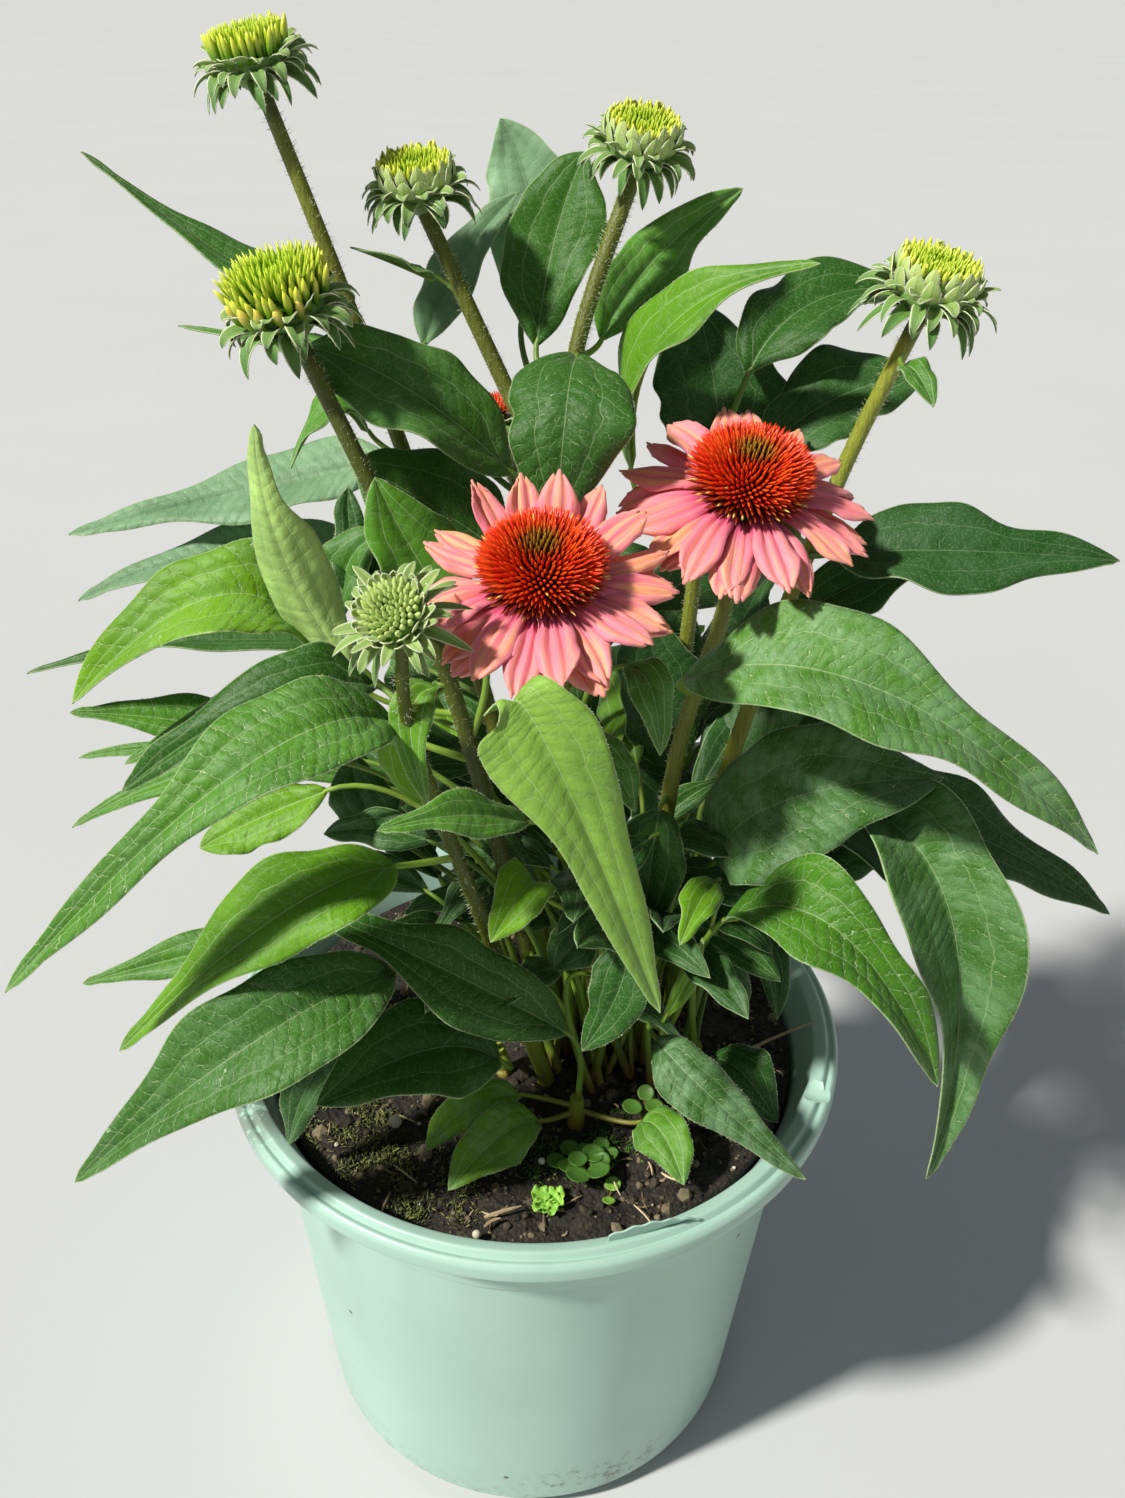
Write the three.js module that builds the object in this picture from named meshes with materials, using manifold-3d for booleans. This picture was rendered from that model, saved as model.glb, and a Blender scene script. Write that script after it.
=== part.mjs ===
// A coneflower plant (Echinacea) in a round nursery pot: the pot, its soil, leafy stems that end in buds or open
// flowers, and tufts of stalked leaves from the crown. Millimetres, +Z up, origin at the centre of the pot's base.
// -Y is the plant's front. Each leafy stem is one body with its leaves and bracts and stands in a plain soil hole.
import * as THREE from 'three';
import { ConvexHull } from 'three/addons/math/ConvexHull.js';
import { mergeVertices } from 'three/addons/utils/BufferGeometryUtils.js';
import Module from 'manifold-3d';

const wasm = await Module();
wasm.setup();

// ---- driving dimensions -------------------------------------------------------------------------------------

const GAP = 0.3;

const POT = {
  height: 172, rim: 105, base: 79.5, wall: 2, floor: 2.5, sides: 32,
  wallTop: 93.6, ledgeDrop: 30, foot: 8, drains: 5, drainRadius: 5.5, drainCircle: 56,
};

const SOIL = { level: 160, mound: 4, bumps: 1.8, rings: 5, sides: 26, holeDepth: 30 };

const STEM = { foot: 3.1, top: 2.5, sides: 6, steps: 6, collar: 6, holeClearance: 0.35 };

const LEAF = { thick: 1.5, camber: 0.8, fold: 0.08, wave: 1.6, petioleWidth: 1.8, longStalk: 34, plain: 19, spared: 0.6 };

// half width of the blade, as a share of the widest, at these shares of its length
const BLADE = [[0, 0.16], [0.15, 0.7], [0.36, 1], [0.6, 0.86], [0.82, 0.44], [1, 0]];

// leaves turn their faces up and to the front, toward the light
const TO_LIGHT = new THREE.Vector3(-0.1, -0.7, 1).normalize();

const BUD = { seat: 9, seatTop: 5.6, florets: 28, bracts: [7, 7, 6], domeHeight: 6, spike: 4.4 };

const BLOOM = {
  coneRadius: 13, coneHeight: 7.5, coneDepth: 15, coneFoot: 105, spines: 64, spike: 2.4, pin: 4.4, seat: 10, seatTop: 2.6,
  ringInner: 4.8, ringOuter: 12, ringThick: 2.8, rays: 18, rayStart: 9.5, rayLength: 23, rayWidth: 9.2,
};

// heights in an open flower's own frame, up from the end of its stem
const RING_LOW = BLOOM.seatTop + GAP;
const RING_HIGH = RING_LOW + BLOOM.ringThick;
const RING_MIDDLE = (RING_LOW + RING_HIGH) / 2;
const PIN_TOP = RING_HIGH + GAP;
const CONE_FOOT = PIN_TOP + GAP;

const COLOUR = {
  pot: '#a9cbb9', soil: '#241c17', leaf: '#3f7a34', leafPale: '#5c9640', florets: '#a9c93a',
  orange: '#d1502a', rays: '#ee8f86', cone: '#a8381f',
};

// ---- the plant: where each stem stands, how it runs, and its leaves ------------------------------------------
// A leaf is [height at which it leaves the stem, blade base, middle of the rib, tip, width, roll in degrees].

const SHOOTS = [
  {
    name: 'bud_shoot_1', foot: [12, 4], via: [[-21, 5, 312], [-49, 12, 399]], top: [-71, 19, 458], slim: 2.1,
    head: { kind: 'bud', face: [-0.2, -0.15, 1], size: 1 },
    leaves: [
      [396, [-53, 15, 402], [-86, 30, 414], [-124, 40, 438], 16, 30],
      [390, [-51, 16, 393], [-76, 25, 393], [-102, 32, 395], 10, 30],
      [354, [-43, 26, 359], [-85, 27, 349], [-139, 20, 337], 24, 0],
      [318, [-40, 22, 324], [-90, 22, 331], [-138, 15, 318], 22, 0],
      [292, [-50, 14, 303], [-100, 12, 307], [-154, 6, 298], 15, 30],
      [258, [-55, 16, 262], [-104, 14, 276], [-146, 12, 281], 20, 0],
      [364, [-48, 13, 372], [-58, 13, 378], [-70, 10, 362], 12, 20],
      [236, [-45, 6, 258], [-95, 2, 274], [-141, 0, 272], 13, 0],
      [205, [-20, 26, 238], [-40, 66, 270], [-62, 106, 262], 29, 0],
      [212, [-8, 14, 240], [-14, 17, 228], [-22, 22, 208], 22, 0],
    ],
  },
  {
    name: 'bud_shoot_2', foot: [6, -9], via: [[-25, -30, 320], [-40, -22, 360]], top: [-62, -12, 406],
    head: { kind: 'bud', face: [-0.25, -0.2, 1], size: 1.22, tall: 1.35 },
    leaves: [
      [290, [-58, -24, 314], [-80, -32, 343], [-124, -38, 313], 28, 0],
      [306, [-48, -34, 318], [-64, -38, 356], [-69, -33, 388], 17, 10],
      [272, [-58, -24, 300], [-84, -28, 303], [-116, -30, 289], 17, 0],
      [248, [-60, -16, 282], [-100, -18, 279], [-139, -20, 260], 14, 0],
      [322, [-41, -22, 330], [-50, -12, 346], [-52, -4, 362], 14, 0],
      [232, [-60, -30, 281], [-79, -34, 274], [-96, -38, 266], 19, 0],
      [296, [-18, -30, 333], [-31, -27, 350], [-42, -24, 372], 24, 0],
      [300, [-55, -18, 329], [-51, -16, 346], [-42, -14, 352], 15, 0],
      [226, [-45, -8, 250], [-53, -8, 262], [-56, -8, 280], 20, 0],
    ],
  },
  {
    name: 'bud_shoot_3', foot: [27, 9], via: [[6, 6, 292], [2, 6, 362], [-10, 18, 383]], top: [-33, 28, 429], slim: 2.1,
    head: { kind: 'bud', face: [-0.1, -0.25, 1], size: 1 },
    forks: [
      {
        from: 352, via: [[9, 15, 395]], top: [24, 28, 440],
        head: { kind: 'bud', face: [0.1, -0.3, 1], size: 1 },
      },
      {
        from: 340, via: [[-6, 22, 352]], top: [-13, 34, 367],
        head: { kind: 'young', face: [-0.15, -0.1, 1], size: 0.72 },
      },
    ],
    leaves: [
      [356, [-8, 1, 365], [-35, -7, 390], [-62, 4, 397], 28, 0],
      [350, [-34, 36, 390], [-24, 46, 410], [-8, 54, 428], 17, 0],
      [404, [-29, 24, 411], [-39, 22, 415], [-51, 20, 419], 8, 50],
      [334, [-8, -2, 341], [-28, -6, 357], [-50, -7, 370], 34, 0],
      [216, [20, 14, 246], [19, 12, 226], [17, 12, 205], 22, 0],
    ],
    forkLeaves: [
      [388, [9, 8, 395], [6, -20, 390], [4, -25, 357], 32, 0],
      [392, [16, 22, 396], [30, 36, 414], [55, 50, 431], 19, 30],
      [378, [-2, 30, 392], [3, 40, 420], [11, 46, 440], 27, 0],
      [374, [-6, 44, 398], [-4, 58, 424], [-13, 62, 446], 26, 0],
    ],
  },
  {
    name: 'bud_shoot_4', foot: [47, 3], via: [[57, 0, 260], [62, -2, 290], [84, 9, 365]], top: [99, 8, 409], slim: 2.2,
    head: { kind: 'bud', face: [0.15, -0.2, 1], size: 1.15 },
    leaves: [
      [396, [94, 1, 396], [96, -6, 396], [100, -12, 389], 8, 0],
      [340, [82, -4, 345], [112, -12, 350], [159, -10, 347], 28, 0],
      [316, [74, -4, 326], [92, 2, 334], [115, 6, 341], 20, 0],
      [246, [93, -8, 266], [135, -10, 255], [186, -10, 224], 29, 0],
      [262, [89, -24, 277], [117, -57, 256], [121, -70, 168], 32, 0],
      [190, [64, 22, 216], [80, 50, 252], [94, 84, 240], 29, 0],
      [236, [54, 8, 254], [71, 10, 275], [89, 10, 283], 34, 0],
      [222, [82, -4, 235], [97, -6, 247], [113, -8, 265], 26, 0],
    ],
  },
  {
    name: 'bud_shoot_5', foot: [4, -27], via: [[-27, -49, 290], [-32, -66, 328]], top: [-31, -75, 356],
    head: { kind: 'bud', face: [-0.3, -0.8, 1], size: 0.84 },
    leaves: [
      [320, [-42, -44, 323], [-68, -58, 326], [-106, -62, 301], 22, 0],
      [306, [-36, -58, 320], [-68, -84, 323], [-129, -100, 267], 27, 0],
      [268, [-38, -56, 274], [-66, -78, 274], [-113, -80, 228], 25, 0],
      [328, [-24, -58, 331], [-31, -65, 326], [-27, -71, 304], 11, 0],
      [258, [-31, -44, 286], [-35, -50, 308], [-28, -54, 329], 14, 0],
    ],
  },
  {
    name: 'bloom_shoot_1', foot: [21, -13], via: [[12, -35, 282], [6, -45, 323]], top: [1, -53, 353],
    head: { kind: 'bloom', face: [-0.04, -0.36, 1], lift: 53, drop: -4, size: 1.02 },
    leaves: [
      [318, [-6, -94, 345], [4, -99, 335], [32, -95, 258], 27, 0],
      [284, [-2, -60, 292], [-19, -75, 304], [-38, -85, 306], 13, 0],
      [300, [13, -38, 304], [20, -42, 299], [27, -46, 286], 12, 0],
      [322, [22, -50, 333], [28, -58, 331], [31, -62, 314], 11, 0],
      [244, [26, -54, 250], [24, -62, 236], [14, -66, 216], 17, 0],
      [232, [0, -48, 262], [-3, -58, 268], [-12, -66, 256], 16, 0],
      [208, [18, -34, 236], [12, -35, 230], [6, -37, 221], 16, 0],
    ],
  },
  {
    name: 'bloom_shoot_2', foot: [36, -9], via: [[41, -18, 290], [50, -20, 335]], top: [53, -18, 363],
    head: { kind: 'bloom', face: [0.05, -0.32, 1], lift: 14, drop: -8, size: 1.06 },
    leaves: [
      [308, [39, -31, 319], [84, -60, 333], [150, -60, 284], 33, 0],
      [240, [54, -24, 254], [68, -40, 286], [114, -34, 291], 40, 0],
      [196, [24, 20, 226], [32, 62, 270], [42, 100, 262], 29, 0],
      [272, [36, -24, 272], [34, -30, 258], [32, -32, 228], 20, 0],
    ],
  },
  {
    name: 'leafy_shoot', foot: [38, 18], via: [[44, 22, 260], [47, 23, 330]], top: [50, 26, 362],
    leaves: [
      [330, [25, 14, 362], [32, 11, 401], [69, 0, 421], 24, -20],
      [358, [51, 30, 362], [50, 35, 378], [44, 45, 401], 38, 0],
      [352, [58, 28, 386], [74, 36, 403], [102, 45, 406], 26, 0],
      [346, [64, 18, 367], [82, 24, 380], [110, 33, 386], 28, 0],
      [236, [42, 14, 262], [38, 16, 290], [31, 18, 316], 28, 0],
      [206, [54, 10, 233], [43, 12, 249], [29, 12, 263], 30, 0],
    ],
  },
  {
    name: 'basal_leaves_left', foot: [-8, 4], stub: true, via: [], top: [-12, 4, 176],
    leaves: [
      [173, [-62, -8, 214], [-112, -12, 204], [-150, -12, 191], 16, 0],
      [170, [-38, 40, 206], [-60, 72, 228], [-82, 100, 214], 26, 0],
    ],
  },
  {
    name: 'basal_leaves_front', foot: [-10, -22], stub: true, via: [], top: [-12, -24, 176],
    leaves: [
      [173, [-40, -58, 238], [-72, -92, 244], [-126, -96, 194], 30, 0],
      [171, [-10, -54, 200], [-30, -68, 218], [-60, -84, 212], 29, 0],
      [169, [-50, -52, 210], [-64, -62, 203], [-74, -66, 176], 17, 0],
    ],
  },
  {
    name: 'basal_leaves_middle', foot: [14, -44], stub: true, via: [], top: [14, -44, 174],
    leaves: [
      [171, [10, -46, 204], [-25, -57, 238], [-62, -54, 257], 25, 0],
      [170, [-4, -44, 175], [-20, -54, 180], [-33, -60, 167], 14, 0],
      [168, [2, -52, 172], [-10, -62, 176], [-25, -76, 168], 18, 0],
      [169, [34, -52, 172], [40, -60, 176], [46, -74, 169], 17, 0],
    ],
  },
  {
    name: 'basal_leaves_right', foot: [54, -20], stub: true, via: [], top: [54, -22, 176],
    leaves: [
      [173, [54, -50, 252], [78, -78, 272], [109, -90, 228], 26, 0],
      [172, [36, -56, 212], [50, -74, 208], [79, -86, 186], 18, 0],
      [170, [58, -32, 180], [66, -42, 184], [78, -50, 170], 18, 0],
      [171, [54, -14, 196], [62, -18, 204], [70, -22, 196], 14, 0],
      [172, [66, 2, 196], [77, -4, 202], [82, -14, 180], 14, 0],
      [172, [41, -40, 206], [47, -43, 226], [49, -45, 241], 6, 0],
    ],
  },
];

// ---- small helpers -------------------------------------------------------------------------------------------

const vec = (p) => new THREE.Vector3(p[0], p[1], p[2]);

function randomFrom(seed) {
  let state = seed;
  return () => {
    state = (state * 16807) % 2147483647;
    return state / 2147483647;
  };
}

function solidFrom(points, triangles) {
  const vertProperties = new Float32Array(points.flatMap((p) => [p.x, p.y, p.z]));
  const triVerts = new Uint32Array(triangles.flat());
  return new wasm.Manifold(new wasm.Mesh({ numProp: 3, vertProperties, triVerts }));
}

function solidFromGeometry(geometry) {
  const bare = geometry.clone();
  bare.deleteAttribute('normal');
  bare.deleteAttribute('uv');
  const merged = mergeVertices(bare.index ? bare.toNonIndexed() : bare, 1e-4);
  const kept = [];
  for (let i = 0; i < merged.index.count; i += 3) {
    const [a, b, c] = [0, 1, 2].map((k) => merged.index.getX(i + k));
    if (a !== b && b !== c && c !== a) kept.push(a, b, c);
  }
  return new wasm.Manifold(new wasm.Mesh({
    numProp: 3, vertProperties: new Float32Array(merged.attributes.position.array), triVerts: new Uint32Array(kept),
  }));
}

function geometryFrom(solid) {
  const mesh = solid.getMesh();
  const geometry = new THREE.BufferGeometry();
  geometry.setAttribute('position', new THREE.BufferAttribute(new Float32Array(mesh.vertProperties), 3));
  geometry.setIndex(new THREE.BufferAttribute(new Uint32Array(mesh.triVerts), 1));
  geometry.computeVertexNormals();
  return geometry;
}

const fuse = (solids) => wasm.Manifold.union(solids);

// Closed body through rings of equal length; a ring of one point closes that end to a point. Faces from index
// `back` on are split the other way, so that a thin waved blade has like triangles on both faces.
function loft(rings, back = Infinity) {
  const points = rings.flat();
  const start = rings.map((ring, i) => rings.slice(0, i).reduce((sum, r) => sum + r.length, 0));
  const triangles = [];
  for (let i = 0; i + 1 < rings.length; i += 1) {
    const [lower, upper] = [rings[i].length, rings[i + 1].length];
    const count = Math.max(lower, upper);
    for (let k = 0; k < count; k += 1) {
      const next = (k + 1) % count;
      const a = start[i] + (lower === 1 ? 0 : k);
      const b = start[i] + (lower === 1 ? 0 : next);
      const c = start[i + 1] + (upper === 1 ? 0 : next);
      const d = start[i + 1] + (upper === 1 ? 0 : k);
      if (lower === 1) triangles.push([a, c, d]);
      else if (upper === 1) triangles.push([a, b, c]);
      else if (k < back) triangles.push([a, b, c], [a, c, d]);
      else triangles.push([a, b, d], [b, c, d]);
    }
  }
  const last = rings.length - 1;
  for (let k = 1; k + 1 < rings[0].length; k += 1) triangles.push([0, k + 1, k]);
  for (let k = 1; k + 1 < rings[last].length; k += 1) {
    triangles.push([start[last], start[last] + k, start[last] + k + 1]);
  }
  const solid = solidFrom(points, triangles);
  return solid.volume() < 0 ? solidFrom(points, triangles.map(([a, b, c]) => [a, c, b])) : solid;
}

// ---- leaves ----------------------------------------------------------------------------------------------------

// A slim stalk from the stem, then a blade folded along its rib, with a waved edge and a pointed tip.
function leafSolid(foot, row, index) {
  const [, base, middle, tip, width, roll] = row;
  const [from, p0, p1, p2] = [foot, vec(base), vec(middle), vec(tip)];
  const control = p1.clone().multiplyScalar(2).addScaledVector(p0, -0.5).addScaledVector(p2, -0.5);
  const blade = new THREE.QuadraticBezierCurve3(p0, control, p2);
  const into = blade.getTangent(0).multiplyScalar(from.distanceTo(p0) * 0.35);
  const stalk = new THREE.QuadraticBezierCurve3(from, p0.clone().sub(into), p0);
  const side = new THREE.Vector3().subVectors(p2, p0).cross(TO_LIGHT).normalize();
  side.applyAxisAngle(new THREE.Vector3().subVectors(p2, p0).normalize(), THREE.MathUtils.degToRad(roll));

  const ring = (curve, t, half, wave) => {
    const centre = curve.getPoint(t);
    const along = curve.getTangent(t);
    const across = side.clone().addScaledVector(along, -side.dot(along)).normalize();
    const up = new THREE.Vector3().crossVectors(across, along).normalize();
    const thick = Math.min(LEAF.thick, 0.6 + half * 0.35);
    const edge = half * LEAF.fold;
    const swell = Math.min(LEAF.camber, half * 0.25);
    const at = (u, h) => centre.clone().addScaledVector(across, u).addScaledVector(up, h);
    const rib = [at(0, 0)];
    if (width >= LEAF.plain) {
      rib.unshift(at(-half / 2, edge / 2 + swell));
      rib.push(at(half / 2, edge / 2 + swell));
    }
    return [at(-half, edge + wave), ...rib, at(half, edge - wave), at(0, -thick)];
  };

  const stalkHalf = LEAF.petioleWidth / 2;
  const rings = [ring(stalk, 0, stalkHalf, 0)];
  if (stalk.getLength() > LEAF.longStalk) rings.push(ring(stalk, 0.5, stalkHalf, 0));
  for (const [t, share] of BLADE.slice(0, -1)) {
    if (width < LEAF.plain && t === LEAF.spared) continue;
    const wave = t === 0 ? 0 : LEAF.wave * share * Math.sin(9 * t + index * 2.1) * Math.min(1, width / 20);
    rings.push(ring(blade, t, Math.max(stalkHalf, share * width / 2), wave));
  }
  rings.push([blade.getPoint(1)]);
  return loft(rings, rings[0].length - 2);
}

// ---- stems -----------------------------------------------------------------------------------------------------

function stemCurve(foot, via, top) {
  const collar = new THREE.Vector3(foot[0], foot[1], SOIL.level + STEM.collar);
  return new THREE.CatmullRomCurve3([collar, ...via.map(vec), vec(top)], false, 'centripetal');
}

// A stem along its curve; a rooted one first runs straight up out of its hole in the soil.
function tube(curve, radiusFoot, radiusTop, steps, rooted) {
  const rings = [];
  for (let i = 0; i <= steps; i += 1) {
    const t = i / steps;
    const along = rooted && i === 0 ? new THREE.Vector3(0, 0, 1) : curve.getTangentAt(t);
    const side = new THREE.Vector3(-1, 0, 0).addScaledVector(along, along.x).normalize();
    const other = new THREE.Vector3().crossVectors(along, side);
    const radius = THREE.MathUtils.lerp(radiusFoot, radiusTop, t);
    rings.push(Array.from({ length: STEM.sides }, (_, k) => {
      const angle = (k / STEM.sides) * Math.PI * 2;
      return curve.getPointAt(t).addScaledVector(side, radius * Math.cos(angle))
        .addScaledVector(other, radius * Math.sin(angle));
    }));
  }
  const holeFloor = SOIL.level - SOIL.holeDepth;
  if (rooted) rings.unshift(rings[0].map((p) => new THREE.Vector3(p.x, p.y, holeFloor + GAP)));
  return loft(rings);
}

function pointAtHeight(curve, height) {
  const steps = 200;
  for (let i = 0; i <= steps; i += 1) {
    const point = curve.getPointAt(i / steps);
    if (point.z >= height) return point;
  }
  return curve.getPointAt(1);
}

// ---- heads -----------------------------------------------------------------------------------------------------

// Places a body modelled upright at the origin on the end of a stem, facing the way its head looks.
function seatOn(solid, end, face) {
  const turn = new THREE.Quaternion().setFromUnitVectors(new THREE.Vector3(0, 0, 1), vec(face).normalize());
  const matrix = new THREE.Matrix4().compose(end, turn, new THREE.Vector3(1, 1, 1));
  return solid.transform(matrix.elements);
}

function turned(profile, sides) {
  return solidFromGeometry(new THREE.LatheGeometry(profile.map(([r, z]) => new THREE.Vector2(r, z)), sides)
    .rotateX(Math.PI / 2));
}

// One green bract: a narrow three-sided section along three stations, from the receptacle out and over.
function bract(angle, stations, width) {
  const out = new THREE.Vector3(Math.cos(angle), Math.sin(angle), 0);
  const side = new THREE.Vector3(-out.y, out.x, 0);
  const at = ([r, z], u, h) => out.clone().multiplyScalar(r).addScaledVector(side, u).setZ(z + h);
  const rings = stations.slice(0, -1).map((p, i) => {
    const half = (i === 1 ? 1 : 0.75) * width / 2;
    return [at(p, -half, 0), at(p, half, 0), at(p, 0, 1)];
  });
  rings.push([at(stations[stations.length - 1], 0, 0)]);
  return loft(rings);
}

function involucre(size, counts) {
  const layers = [
    [[5, 0.6], [11.4, 1.4], [15, -1.6]],
    [[5.5, 2.6], [11.6, 4.4], [15.6, 1.6]],
    [[6, 3.6], [11.8, 5.2], [14.8, 5.6]],
  ];
  const parts = [turned([[0, -3], [2.6, -2.2], [BUD.seat, 3.2], [BUD.seat, BUD.seatTop], [0, BUD.seatTop]], 8)];
  counts.forEach((count, layer) => {
    for (let k = 0; k < count; k += 1) {
      const angle = ((k + layer / counts.length) / count) * Math.PI * 2;
      parts.push(bract(angle, layers[layer], 4.4));
    }
  });
  return fuse(parts).scale([size, size, size]);
}

// A dome of pointed florets: each seed point of the hull becomes a spike between the middles of its faces.
function spikedDome({ radius, height, depth = height, count, footAngle, spike, upright, dimple }) {
  const golden = Math.PI * (3 - Math.sqrt(5));
  const cut = Math.cos(THREE.MathUtils.degToRad(footAngle));
  const drop = depth * cut;
  const seeds = [];
  for (let i = 0; i < count; i += 1) {
    const c = 1 - ((i + 0.5) / count) * (1 - cut);
    const s = Math.sqrt(1 - c * c);
    const [x, y] = [s * Math.cos(i * golden), s * Math.sin(i * golden)];
    const point = new THREE.Vector3(radius * x, radius * y, (c > 0 ? height : depth) * c - drop);
    const normal = new THREE.Vector3(x, y, c).normalize();
    point.raise = normal.add(new THREE.Vector3(0, 0, upright)).normalize()
      .multiplyScalar(spike * (1 - dimple * c ** 6));
    seeds.push(point);
  }
  const footRadius = radius * Math.sqrt(1 - cut * cut) - 0.6;
  const footPoints = 9;
  for (let k = 0; k < footPoints; k += 1) {
    const angle = (k / footPoints) * Math.PI * 2;
    seeds.push(new THREE.Vector3(footRadius * Math.cos(angle), footRadius * Math.sin(angle), 0));
  }
  seeds.forEach((seed) => { seed.raise ??= new THREE.Vector3(); });

  const hull = new ConvexHull().setFromPoints(seeds);
  const points = seeds.map((seed) => seed.clone().add(seed.raise));
  const indexOf = new Map(seeds.map((seed, i) => [seed, i]));
  const valley = new Map();
  hull.faces.forEach((face) => {
    const corners = [face.getEdge(0), face.getEdge(1), face.getEdge(2)].map((edge) => edge.head().point);
    const middle = corners.reduce((sum, c) => sum.add(c), new THREE.Vector3()).divideScalar(3);
    valley.set(face, points.length);
    points.push(middle);
  });
  const triangles = [];
  hull.faces.forEach((face) => {
    for (let k = 0; k < 3; k += 1) {
      const edge = face.getEdge(k);
      triangles.push([indexOf.get(edge.tail().point), valley.get(edge.twin.face), valley.get(face)]);
    }
  });
  return solidFrom(points, triangles);
}

function budFlorets({ size, tall = 1 }) {
  return spikedDome({
    radius: BUD.seat - 0.4, height: BUD.domeHeight * tall, count: BUD.florets, footAngle: 92,
    spike: BUD.spike * tall, upright: 1.6, dimple: 0.75,
  }).translate([0, 0, BUD.seatTop + GAP]).scale([size, size, size]);
}

function bloomCone(size) {
  return spikedDome({
    radius: BLOOM.coneRadius, height: BLOOM.coneHeight, depth: BLOOM.coneDepth, count: BLOOM.spines, footAngle: BLOOM.coneFoot,
    spike: BLOOM.spike, upright: 0.25, dimple: 0.35,
  }).translate([0, 0, CONE_FOOT]).scale([size, size, size]);
}

// The green seat of an open flower: a shallow cup of bracts with a pin that carries the cone.
function bloomSeat(size) {
  const parts = [turned([[0, -3], [2.6, -2.4], [BLOOM.seat, 1.6], [BLOOM.seat, BLOOM.seatTop],
    [BLOOM.pin, BLOOM.seatTop], [BLOOM.pin, PIN_TOP], [0, PIN_TOP]], 8)];
  for (let k = 0; k < 9; k += 1) {
    parts.push(bract((k / 9) * Math.PI * 2, [[6, 0], [13, -1], [16, -5]], 3.6));
  }
  return fuse(parts).scale([size, size, size]);
}

// One ray petal: flat under the cone, then turned up or down by its pitch, with a ridge and a notched end.
function ray(angle, pitch, layer) {
  const out = new THREE.Vector3(Math.cos(angle), Math.sin(angle), 0);
  const side = new THREE.Vector3(-out.y, out.x, 0);
  const stations = [[0, 0.45], [0.26, 0.68], [0.7, 1], [1, 0.62]];
  const end = new THREE.Vector2(BLOOM.rayStart, RING_MIDDLE + layer * 0.8);
  let travelled = 0;
  const rings = stations.map(([t, share], i) => {
    const bend = pitch * THREE.MathUtils.smoothstep(t, 0.1, 0.5) - 12 * t;
    const step = (t - travelled) * BLOOM.rayLength;
    end.x += step * Math.cos(THREE.MathUtils.degToRad(bend));
    end.y += step * Math.sin(THREE.MathUtils.degToRad(bend));
    travelled = t;
    const half = share * BLOOM.rayWidth / 2;
    const notch = i === stations.length - 1 ? 1.6 : 0;
    const at = (u, r, h) => out.clone().multiplyScalar(end.x + r).addScaledVector(side, u).setZ(end.y + h);
    return [at(-half, 0, -0.2), at(0, -notch, 0.5), at(half, 0, -0.2), at(0, -notch, -0.5)];
  });
  return loft(rings, 2);
}

function bloomRays({ size, lift, drop }, index) {
  const random = randomFrom(17 + index);
  const ring = turned([[BLOOM.ringInner, RING_LOW], [BLOOM.ringOuter, RING_LOW],
    [BLOOM.ringOuter, RING_HIGH], [BLOOM.ringInner, RING_HIGH], [BLOOM.ringInner, RING_LOW]], 12);
  const parts = [ring];
  for (let k = 0; k < BLOOM.rays; k += 1) {
    const angle = ((k + 0.4 * (random() - 0.5)) / BLOOM.rays) * Math.PI * 2;
    const backward = (1 + Math.sin(angle)) / 2;
    const pitch = THREE.MathUtils.lerp(drop, lift, backward ** 4) + 8 * (random() - 0.5) - 5 * (k % 2);
    parts.push(ray(angle, pitch, k % 2 ? -1 : 1));
  }
  return fuse(parts).scale([size, size, size]);
}

// ---- pot and soil ----------------------------------------------------------------------------------------------

function wallRadius(z) {
  return THREE.MathUtils.lerp(POT.base, POT.wallTop, z / POT.height);
}

function pot() {
  const { height, rim, wall, floor, foot, ledgeDrop } = POT;
  const ledge = height - ledgeDrop;
  const inner = (z) => wallRadius(z) - wall;
  const profile = [
    [0, 0], [POT.base - foot * 0.7, 0], [wallRadius(foot), foot],
    [wallRadius(ledge), ledge], [wallRadius(ledge) + 1, ledge + 0.8], [POT.wallTop + 0.8, height - 11],
    [rim, height - 8], [rim, height - 3], [rim - 1.6, height - 1.4],
    [rim - 3, height - 2.4], [rim - 4.4, height], [rim - 8.5, height - 1.2],
    [inner(ledge) + 1, height - 16], [inner(foot), foot + 2], [inner(foot) - 5, floor], [0, floor],
  ];
  let body = turned(profile, POT.sides);
  for (let k = 0; k < POT.drains; k += 1) {
    const angle = (k / POT.drains) * Math.PI * 2;
    const drain = turned([[0, -1], [POT.drainRadius, -1], [POT.drainRadius, floor + 1], [0, floor + 1]], 6)
      .translate([POT.drainCircle * Math.cos(angle), POT.drainCircle * Math.sin(angle), 0]);
    body = body.subtract(drain);
  }
  return body.subtract(rimChip()).add(rimSliver());
}

function rimPoint(degrees, radius, z) {
  const angle = THREE.MathUtils.degToRad(degrees);
  return new THREE.Vector3(radius * Math.cos(angle), radius * Math.sin(angle), z);
}

// The torn sliver that stands up from the rim's inner edge, and the chip out of the rim.
function rimSliver() {
  const stations = [[-77, 0.6, 1], [-72, 1.4, 3.2], [-66, 1.6, 4.4], [-61, 1, 2.6]];
  return loft(stations.map(([angle, thick, rise]) => [
    rimPoint(angle, POT.rim - 6.5, POT.height - 2.2), rimPoint(angle, POT.rim - 6.5 + thick, POT.height - 2.2),
    rimPoint(angle, POT.rim - 7 + thick, POT.height + rise), rimPoint(angle, POT.rim - 7, POT.height + rise),
  ]));
}

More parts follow.
